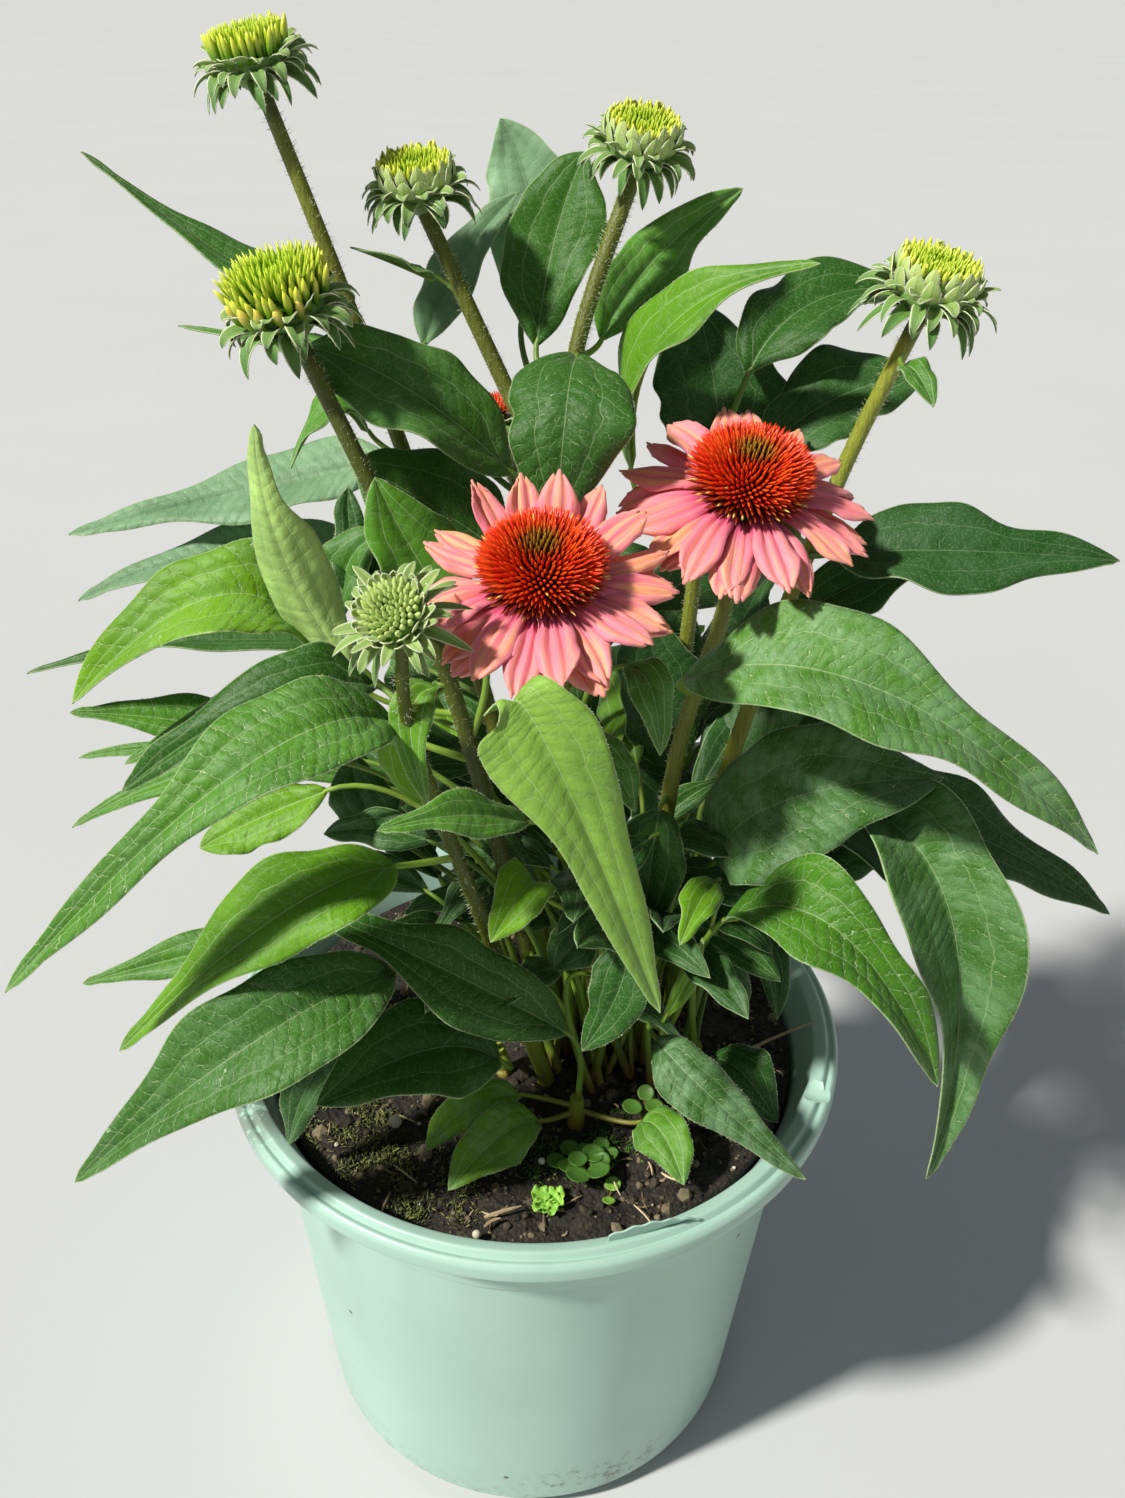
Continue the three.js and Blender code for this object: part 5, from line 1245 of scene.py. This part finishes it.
# %% Young growth at the crown
def crown_growth(name, count, low, high, lengths, random):
    """Stalked leaves whose blades start at places between the two corners, with lengths between two limits."""
    rows, feet = [], []
    for _ in range(count):
        base = random.uniform(low, high)
        feet.append(np.array([0.45 * base[0] + 14, 0.5 * base[1] - 8, SOIL_LEVEL + 2]) + [*random.normal(0, 5, 2), 0])
        heading = math.atan2(base[1] + 12, base[0] - 18) + random.normal(0, 0.7)
        length = random.uniform(*lengths)
        width = length * random.uniform(0.28, 0.38)
        climb = random.uniform(-0.5, 0.9)
        tip = base + np.array([math.cos(heading), math.sin(heading), climb]) * length / math.hypot(1, climb)
        middle = (base + tip) / 2 + [0, 0, 0.1 * length]
        # four in five get a dark green, painted shade, and the rest a bright young green
        shade = 0.8 if random.random() < 0.2 else random.uniform(0.0, 0.18)
        rows.append((SOIL_LEVEL, base, middle, tip, width, random.uniform(-30, 30), shade, 0.4))
    blades = [leaf_part(row, count + k, young_leaf) for k, row in enumerate(rows)]
    stalks = []
    for foot, row in zip(feet, rows):
        line, radii, _ = stalk_line(foot, row)
        stout = np.interp(np.arange(len(radii)), [0, 12], [random.uniform(1.1, 2.0), 1.0])
        stalks.append((line, radii * stout, random.uniform(0.4, 1)))
    leaves = thicken(assemble("young_blades", blades, [leaf_top, leaf_under]), BLADE_THICK, 1)
    hand_over(joined(name, leaves, tubes("young_stalks", stalks, leaf_stalk, 6)), "foliage")


crown_growth("young_growth", 50, (-34, -32, 204), (60, 12, 272), (24, 48), np.random.default_rng(41))
crown_growth("shaded_leaves", 12, (-6, 14, 236), (70, 34, 320), (55, 80), np.random.default_rng(43))

# %% All the hairs as one piece
bases, axes, lengths = (np.concatenate(column) for column in zip(*hairs))
many, placed = stamped(hair_blank, bases, axes, HAIR_RADIUS, lengths)
hand_over(assemble("plant_hairs", [(many, placed, 0, {})], [plant_hair]), "foliage")

# %% [markdown]
# ## Pot
# The pot is thin polypropylene, injection moulded: a plain tapering wall, a band that steps out 30 mm below the
# rim, and a rolled rim with a groove. A lathe makes it best, so half of its section is drawn once, its corners
# rounded, and spun about the axis. Five drain holes and the chip in the rim are then cut with Boolean tools.

# %% Pot finish
def pot_finish():
    material, add = new_material("moulded_polypropylene", 0.42, sheen_weight=0.05)
    place = add("place")
    cloud = add("noise", place, 14.0, 3.0)
    streak = add("noise", add("squeezed", place, (60, 60, 8)), 1.0, 2.0)
    body = add("mix", add("step", cloud, 0.35, 0.7), "#a2c4b5", "#abccbf")
    body = add("mix", add("step", streak, 0.5, 0.8, 0.0, 0.35), body, "#93b5a4")
    # splashes of peat: rare specks all over, and a muddy patch low on the front
    speck = add("cells", place, 130.0)
    rare = add("step", add("split", speck.node.outputs["Color"])[0], 0.955, 0.96)
    dot = add("times", add("step", speck, 0.1, 0.17, 1.0, 0.0), rare)
    mud = add("noise", place, 260.0, 5.0, 0.7)

    def smear(centre, squeeze, reach, start):
        away = add("length", add("scaled", add("from", place, centre), (1.0, 1.0, squeeze)))
        return add("times", add("step", away, reach * 0.3, reach, 1.0, 0.0), add("step", mud, start, start + 0.1))

    smears = add("larger", smear((0.028, -0.083, 0.018), 3.2, 0.042, 0.52),
                 smear((-0.091, -0.046, 0.171), 1.5, 0.024, 0.38))
    foot_dust = add("times", add("step", add("split", place)[2], 0.0, 0.03, 0.35, 0.0), add("step", mud, 0.45, 0.7))
    dirt = add("larger", add("larger", dot, add("times", smears, 0.6)), foot_dust)
    relief = add("plus", add("times", add("noise", place, 900.0, 2.0), 0.25), dirt)
    return dress(material, add("mix", dirt, body, "#4d4538"), relief, 0.35, 0.0004)


# %% A lathe and a cutter
POT = dict(height=172, rim=105, base=79.5, wall=2, wall_top=93.6, ledge_drop=30, drains=5, drain_radius=5.5,
           drain_circle=56)


def wall_radius(z):
    return POT["base"] + (POT["wall_top"] - POT["base"]) * z / POT["height"]


def rounded(profile, radius):
    """The section with each corner but the ends replaced by a short arc."""
    result = [profile[0]]
    for before, corner, after in zip(profile, profile[1:], profile[2:]):
        corner = np.array(corner, float)
        towards = [np.array(p, float) - corner for p in (before, after)]
        cut = min(radius, *(0.45 * np.linalg.norm(t) for t in towards))
        first, last = (corner + unit(t) * cut for t in towards)
        for t in (0, 0.33, 0.67, 1):
            result.append(tuple((1 - t) ** 2 * first + 2 * t * (1 - t) * corner + t ** 2 * last))
    return [*result, profile[-1]]


def spun(name, section, steps, material):
    """Spins an open section of (radius, height) in mm round the axis into a closed body."""
    bpy.ops.mesh.primitive_circle_add(vertices=len(section), radius=1, location=(0, 0, 0))
    piece = bpy.context.object
    piece.name = piece.data.name = name
    mesh = piece.data
    for vertex, (radius, height) in zip(mesh.vertices, section):
        vertex.co = (radius * MM, 0, height * MM)
    edit_edges(mesh, [sorted(edge.vertices) == [0, len(section) - 1] for edge in mesh.edges])
    bpy.ops.mesh.delete(type="EDGE")
    bpy.ops.mesh.select_all(action="SELECT")
    bpy.ops.mesh.spin(steps=steps, angle=TURN, center=(0, 0, 0), axis=(0, 0, 1))
    bpy.ops.mesh.select_all(action="SELECT")
    bpy.ops.mesh.remove_doubles(threshold=0.00001)
    bpy.ops.mesh.normals_make_consistent(inside=False)
    bpy.ops.object.mode_set(mode="OBJECT")
    mesh.materials.append(material)
    return piece


def cut_with(piece, cutter):
    choose(piece)
    cut = piece.modifiers.new("cut", "BOOLEAN")
    cut.operation, cut.object, cut.solver = "DIFFERENCE", cutter, "EXACT"
    bpy.ops.object.modifier_apply(modifier=cut.name)
    bpy.data.objects.remove(cutter)


# %% Pot
plastic = pot_finish()
H, LEDGE = POT["height"], POT["height"] - POT["ledge_drop"]
section = rounded([
    (0, 0), (POT["base"] - 5.6, 0), (wall_radius(8), 8), (wall_radius(LEDGE), LEDGE),
    (wall_radius(LEDGE) + 1, LEDGE + 0.8), (POT["wall_top"] + 0.8, H - 11), (POT["rim"], H - 8), (POT["rim"], H - 3),
    (POT["rim"] - 1.6, H - 1.4), (POT["rim"] - 3, H - 2.4), (POT["rim"] - 4.4, H), (POT["rim"] - 8.5, H - 1.2),
    (wall_radius(LEDGE) - 1, H - 16), (wall_radius(8) - 2, 10), (wall_radius(8) - 7, 2.5), (0, 2.5),
], 0.9)
pot = spun("nursery_pot", section, 192, plastic)
for k in range(POT["drains"]):
    x, y = turned(POT["drain_circle"] * MM, 0, k / POT["drains"] * TURN)
    bpy.ops.mesh.primitive_cylinder_add(vertices=24, radius=POT["drain_radius"] * MM, depth=0.01, location=(x, y, 0))
    cut_with(pot, bpy.context.object)


# %% Chip and sliver of the rim
def rim_point(degrees, radius, height):
    return Vector((*turned(radius, 0, math.radians(degrees)), height)) * MM


# the chip: a small wedge, rough along its bottom, taken out of the rim
bpy.ops.mesh.primitive_cube_add(size=1)
bpy.ops.object.mode_set(mode="EDIT")
bpy.ops.mesh.subdivide(number_cuts=5)
bpy.ops.object.mode_set(mode="OBJECT")
chip = bpy.context.object
for vertex in chip.data.vertices:
    x, y, z = vertex.co
    deep = 3 + max(0.4, 2.6 - 9.0 * y * y + 0.7 * math.sin(y * 19) + 0.4 * math.sin(x * 7 + 2))
    vertex.co = rim_point(-22.3 + 5.6 * y, POT["rim"] - 4.5 + 15 * x, H + 3 - (0.5 - z) * deep)
cut_with(pot, chip)

# the sliver: a torn curl of plastic that stands on the rim's inner edge
bpy.ops.mesh.primitive_grid_add(x_subdivisions=24, y_subdivisions=5, size=2)
sliver = bpy.context.object
for vertex in sliver.data.vertices:
    along, across = (vertex.co.x + 1) / 2, (vertex.co.y + 1) / 2
    tall = 0.8 + 4.8 * math.sin(math.pi * min(1, 0.12 + along * 0.9)) ** 0.8 + 0.4 * math.sin(along * 31)
    lean = 2.2 * across * (0.3 + along)
    vertex.co = rim_point(-77 + 16 * along, POT["rim"] - 6.2 + lean, H - 2.0 + (tall + 1.2) * across)
sliver.data.materials.append(plastic)
thicken(sliver, 0.5)
pot = joined("nursery_pot", pot, sliver)
bpy.ops.object.shade_smooth_by_angle(angle=math.radians(35))
hand_over(pot, "pot", "pot")

# %% [markdown]
# ## Potting mix
# Potting mix is dark peat with crumbs, bits of bark and straw, white perlite and, in a pot that has stood
# outdoors, moss. The surface is a spun disc of fine rings whose points are raised by fractal noise. Crumbs are
# copies of a twenty-faced ball, each stretched its own way, and moss is made of thousands of tiny spikes.

# %% Finishes of the mix
def peat_finish():
    material, add = new_material("damp_peat", 0.85)
    place = add("place")
    clump, crumb = add("noise", place, 160.0, 6.0, 0.7), add("cells", place, 700.0)
    body = add("mix", add("step", clump, 0.35, 0.7), "#1a1611", "#453d30")
    body = add("mix", add("step", crumb, 0.1, 0.6, 0.0, 0.5), body, "#14110e")
    return dress(material, body, add("plus", clump, add("times", crumb, 0.6)), 0.9, 0.0012)


def toned_finish(name, roughness, low, high, grain):
    """A plain organic surface whose colour runs from low to high by each bit's own shade."""
    material, add = new_material(name, roughness)
    shade = add("split", add("fact", attribute_name="tone"))[0]
    fleck = add("noise", add("place"), grain, 3.0)
    share = add("plus", shade, add("scale_shift", fleck, 0.6, -0.3), use_clamp=True)
    return dress(material, add("mix", share, low, high), fleck, 0.5, 0.0004)


# %% Surface of the mix
RINGS = 64
edge = wall_radius(SOIL_LEVEL) - POT["wall"] - 1.0
soil_section = [(0, 3.0), (wall_radius(8) - 8.6, 3.0), (wall_radius(8) - 3.2, 10.4), (edge, SOIL_LEVEL - 2)]
soil_section += [(edge * r, SOIL_LEVEL + SOIL_MOUND * (1 - r ** 2)) for r in (1 - i / RINGS for i in range(RINGS + 1))]
soil = spun("potting_mix", soil_section, 200, peat_finish())


def soil_height(x, y):
    """Height of the mix in mm above a place: the mound, soft hills, lumps and crumbs."""
    share = min(1.0, math.hypot(x, y) / edge)
    spot = Vector((x, y, 0))
    hills = 1.5 * noise.noise(spot / 26)
    lumps = 1.7 * noise.fractal(spot / 7, 0.9, 2.1, 4)
    return SOIL_LEVEL + SOIL_MOUND * (1 - share ** 2) + (hills + lumps) * min(1, (1 - share) * 12 + 0.15)


for vertex in soil.data.vertices:
    x, y, z = vertex.co / MM
    if z >= SOIL_LEVEL - 0.01:
        vertex.co.z = soil_height(x, y) * MM
soil.data.polygons.foreach_set("use_smooth", np.full(len(soil.data.polygons), True))

# %% Ways to scatter
random = np.random.default_rng(7)
FEET = [shoot["foot"] for shoot in SHOOTS]


def scattered(count, centre=(0, 0), spread=None):
    """Places on the mix, as x, y and height, clear of the stems."""
    found = []
    while len(found) < count:
        if spread is None:
            r, a = (edge - 1.5) * math.sqrt(random.random()), random.random() * TURN
            x, y = r * math.cos(a), r * math.sin(a)
        else:
            x, y = (centre[k] + random.normal(0, spread[k]) for k in (0, 1))
        if math.hypot(x, y) < edge - 1.2 and all(math.hypot(x - fx, y - fy) > 4.2 for fx, fy in FEET):
            found.append((x, y, soil_height(x, y)))
    return np.array(found)


def any_way(count):
    return random.normal(0, 1, (count, 3))


def lying(count):
    """Directions that lie on the ground, a little up or down."""
    a = random.uniform(0, TURN, count)
    return np.stack([np.cos(a), np.sin(a), random.normal(0, 0.12, count)], 1)


def bits(name, blank, bases, axes, widths, lengths, shades, material, smooth=False):
    many, placed = stamped(blank, bases, axes, widths, lengths, random.uniform(0, 6.28, len(bases)))
    tone = np.repeat(np.stack([shades, 0 * shades, 0 * shades], 1), len(blank["points"]), axis=0)
    return assemble(name, [(many, placed, 0, {"tone": tone})], [material], smooth)


# %% Crumbs, bark, straw and perlite
CRUMBS, STRAWS, GRIT = 2750, 150, 55
bpy.ops.mesh.primitive_ico_sphere_add(subdivisions=1, radius=1)
crumb_blank = take_blank()
straw_blank = spindle_blank(4, (0.6, 1.0, 0.9, 0.8, 0.3))
straw_blank["points"][:, 0] += 1.2 * np.sin(math.pi * straw_blank["points"][:, 2])
crumb_skin = toned_finish("peat_crumb", 0.9, "#1b1713", "#85795e", 500.0)
straw_skin = toned_finish("straw_and_bark", 0.7, "#5b4128", "#d8c29a", 300.0)
stone_skin = toned_finish("perlite", 0.8, "#b8ad94", "#f4f0e6", 400.0)

places = scattered(CRUMBS)
size = random.lognormal(-0.15, 0.6, CRUMBS).clip(0.3, 4.0)
crumbs = bits("crumbs", crumb_blank, places + [0, 0, 0.1], any_way(CRUMBS), size * random.uniform(0.5, 1, CRUMBS),
              size * random.uniform(0.6, 1.1, CRUMBS), random.random(CRUMBS) ** 2.5, crumb_skin)
places = scattered(STRAWS)
straws = bits("straws", straw_blank, places + [0, 0, 0.7], lying(STRAWS), random.uniform(0.18, 0.5, STRAWS),
              random.lognormal(1.5, 0.5, STRAWS).clip(2, 12), random.random(STRAWS), straw_skin)
places = scattered(GRIT)
grit = bits("grit", crumb_blank, places + [0, 0, 0.5], any_way(GRIT), random.uniform(0.3, 0.9, GRIT),
            random.uniform(0.35, 1.0, GRIT), random.random(GRIT), stone_skin)

# %% Bits that show one by one
# straws and the long twig on the right, as start, end, width and shade
SINGLE = [
    ((-14, -82, 163.5), (-3, -79, 165), 0.55, 0.65), ((-14, -85, 163), (-9, -83, 164.5), 0.6, 0.45),
    ((31, -77, 163.5), (36, -85, 164.5), 0.3, 0.95), ((25, -68, 164.5), (27, -75, 165), 0.3, 0.9),
    ((40, -66, 165), (46, -69, 165), 0.45, 0.9), ((-43, -63, 164), (-35, -70, 164), 0.3, 0.85),
    ((64, -19, 164.5), (97, -8, 174.2), 0.7, 0.6),
]
starts, ends, thick, shades = (np.array(column, float) for column in zip(*SINGLE))
marked = bits("marked_straws", straw_blank, starts, ends - starts, thick, np.linalg.norm(ends - starts, axis=1),
              shades, straw_skin)
# round fertiliser prills
bpy.ops.mesh.primitive_uv_sphere_add(segments=16, ring_count=10, radius=1)
ball_blank = take_blank()
prills = bits("prills", ball_blank, np.array([(-44, -47, 165.6), (-16, -88, 163.4), (3, -62, 165)], float),
              np.array([(0, 0, 1)] * 3, float), np.array([2.1, 1.3, 1.1]), np.array([2.1, 1.3, 1.0]),
              np.array([0.35, 0.2, 0.8]), stone_skin, True)

# %% [markdown]
# ## Moss and seedlings
# Dry yellow-green moss covers the left of the pot, and a fresher green moss grows round the crown. A tuft is a
# heap of little spikes that point all ways but down. Between them grow a few seedlings with round leaves and one
# curly bright one.

# %% Moss
SPIKES = 52
moss_blank = spindle_blank(3, (0.9, 1.0, 0.1))
dry_moss = toned_finish("dry_moss", 0.85, "#26260f", "#8c9150", 600.0)
green_moss = toned_finish("green_moss", 0.8, "#162a09", "#54801f", 600.0)


def tufts(name, patches, spread, length, material):
    """Tufts round the places of each patch, which is a count, a centre and a spread."""
    bases, axes = [], []
    for cx, cy, _ in [place for patch in patches for place in scattered(*patch)]:
        for dx, dy in random.normal(0, spread * random.uniform(0.6, 1.3), (SPIKES, 2)):
            x, y = cx + dx, cy + dy
            if math.hypot(x, y) > edge - 0.8:
                continue
            heap = 1.6 * random.random() * math.exp(-(dx * dx + dy * dy) / spread ** 2 / 2)
            bases.append((x, y, soil_height(x, y) + heap))
            axes.append((random.normal(0, 0.9), random.normal(0, 0.9), random.random() + 0.15))
    count = len(bases)
    return bits(name, moss_blank, np.array(bases), np.array(axes), random.uniform(0.16, 0.34, count),
                length * random.uniform(0.5, 1.3, count), random.random(count), material, True)


left_moss = tufts("dry_moss_tufts", [(20, (-52, -50), (13, 14)), (9, (-30, -74), (10, 5)), (7, (-74, -36), (7, 10))],
                  2.6, 2.2, dry_moss)
crown_moss = tufts("green_moss_tufts", [(20, (16, -56), (10, 6)), (7, (60, -22), (5, 4)), (6, (46, -6), (14, 20))],
                   2.4, 1.9, green_moss)

# %% Seedlings
seedling_leaf = sheet_blank(8, 8)


def seedling_finish():
    material, add = new_material("seedling", 0.5, subsurface_weight=0.2, subsurface_scale=0.001)
    veins = add("noise", add("fact", attribute_name="blade"), 4.0, 3.0)
    body = add("mix", add("split", add("fact", attribute_name="tone"))[0], "#27501a", "#93c94c")
    return dress(material, add("mix", add("step", veins, 0.5, 0.8, 0.0, 0.4), body, "#4f8a2e"))


def round_leaf(place, heading, radius, tilt, shade, crimp):
    """A round leaf with a notch at its stalk, dished in the middle."""
    u, v = seedling_leaf["points"][:, 0], seedling_leaf["points"][:, 1] * 2 - 1
    x, y = u * np.sqrt(1 - v ** 2 / 2), v * np.sqrt(1 - u ** 2 / 2)
    r, a = np.hypot(x, y), np.arctan2(y, x)
    shrink = 1 - 0.35 * np.exp(-(((a + math.pi / 2) / 0.35) ** 2)) * r
    lift = 0.22 * r ** 2 + crimp * r ** 2 * np.sin(5 * a + heading)
    y, z = turned((y + 0.75) * shrink * radius, lift * radius, tilt)
    points = np.stack([*turned(x * shrink * radius, y, heading), z], 1)
    return seedling_leaf, points + place, 0, {"tone": (shade, 0, 0), "blade": np.stack([u, v, 0 * u], 1)}


# place, number of leaves, radius, shade, crimp of the edge and how high it stands
SEEDLINGS = [(17, -66, 5, 3.4, 0.15, 0.02, 5), (12, -60, 4, 3.0, 0.2, 0.02, 4), (22, -60, 4, 2.8, 0.15, 0.02, 4),
             (5, -76, 7, 2.6, 0.95, 0.3, 3), (24, -72, 2, 2.4, 0.6, 0.05, 2), (36, -43, 3, 3.0, 0.2, 0.02, 9)]
seedling_skin = seedling_finish()
seedlings, seedling_stalks = [], []
for x, y, leaves, radius, shade, crimp, rise in SEEDLINGS:
    ground = soil_height(x, y)
    for k in range(leaves):
        heading = k / leaves * TURN + random.uniform(-0.4, 0.4)
        out = np.array([-math.sin(heading), math.cos(heading)]) * radius * random.uniform(0.3, 0.8)
        place = np.array([x + out[0], y + out[1], ground + rise * random.uniform(0.7, 1.1)])
        size, tilt = radius * random.uniform(0.8, 1.15), random.uniform(0.0, 0.5)
        seedlings.append(round_leaf(place, heading, size, tilt, shade * random.uniform(0.8, 1.05), crimp))
        foot = np.array([x, y, ground - 1.0])
        line = smooth_line([foot, (foot + place) / 2 + [0, 0, 0.8], place], 8)
        seedling_stalks.append((line, np.full(9, 0.3), 0.4))
seedling_leaves = thicken(assemble("seedling_leaves", seedlings, [seedling_skin]), 0.25)
seedling_feet = tubes("seedling_stalks", seedling_stalks, leaf_stalk, 6)

# %% Handing over what lies in the pot
hand_over(soil, "soil", "soil")
hand_over(joined("peat_crumbs", crumbs), "soil")
hand_over(joined("straw_perlite_and_twig", straws, marked, grit, prills), "soil")
hand_over(joined("moss_tufts", left_moss, crown_moss), "foliage")
hand_over(joined("seedlings", seedling_leaves, seedling_feet), "foliage")

# %% [markdown]
# ## Floor
# A plain pale floor runs to the horizon. It is staging, not part of the object.

# %% Floor
bpy.ops.mesh.primitive_plane_add(size=80, location=(0, 0, 0))
floor = bpy.context.object
floor.name = "studio_floor"
paper, add = new_material("studio_paper", 0.9)
floor.data.materials.append(dress(paper, add("mix", add("noise", add("place"), 3.0), "#bec0c2", "#c4c6c7")))
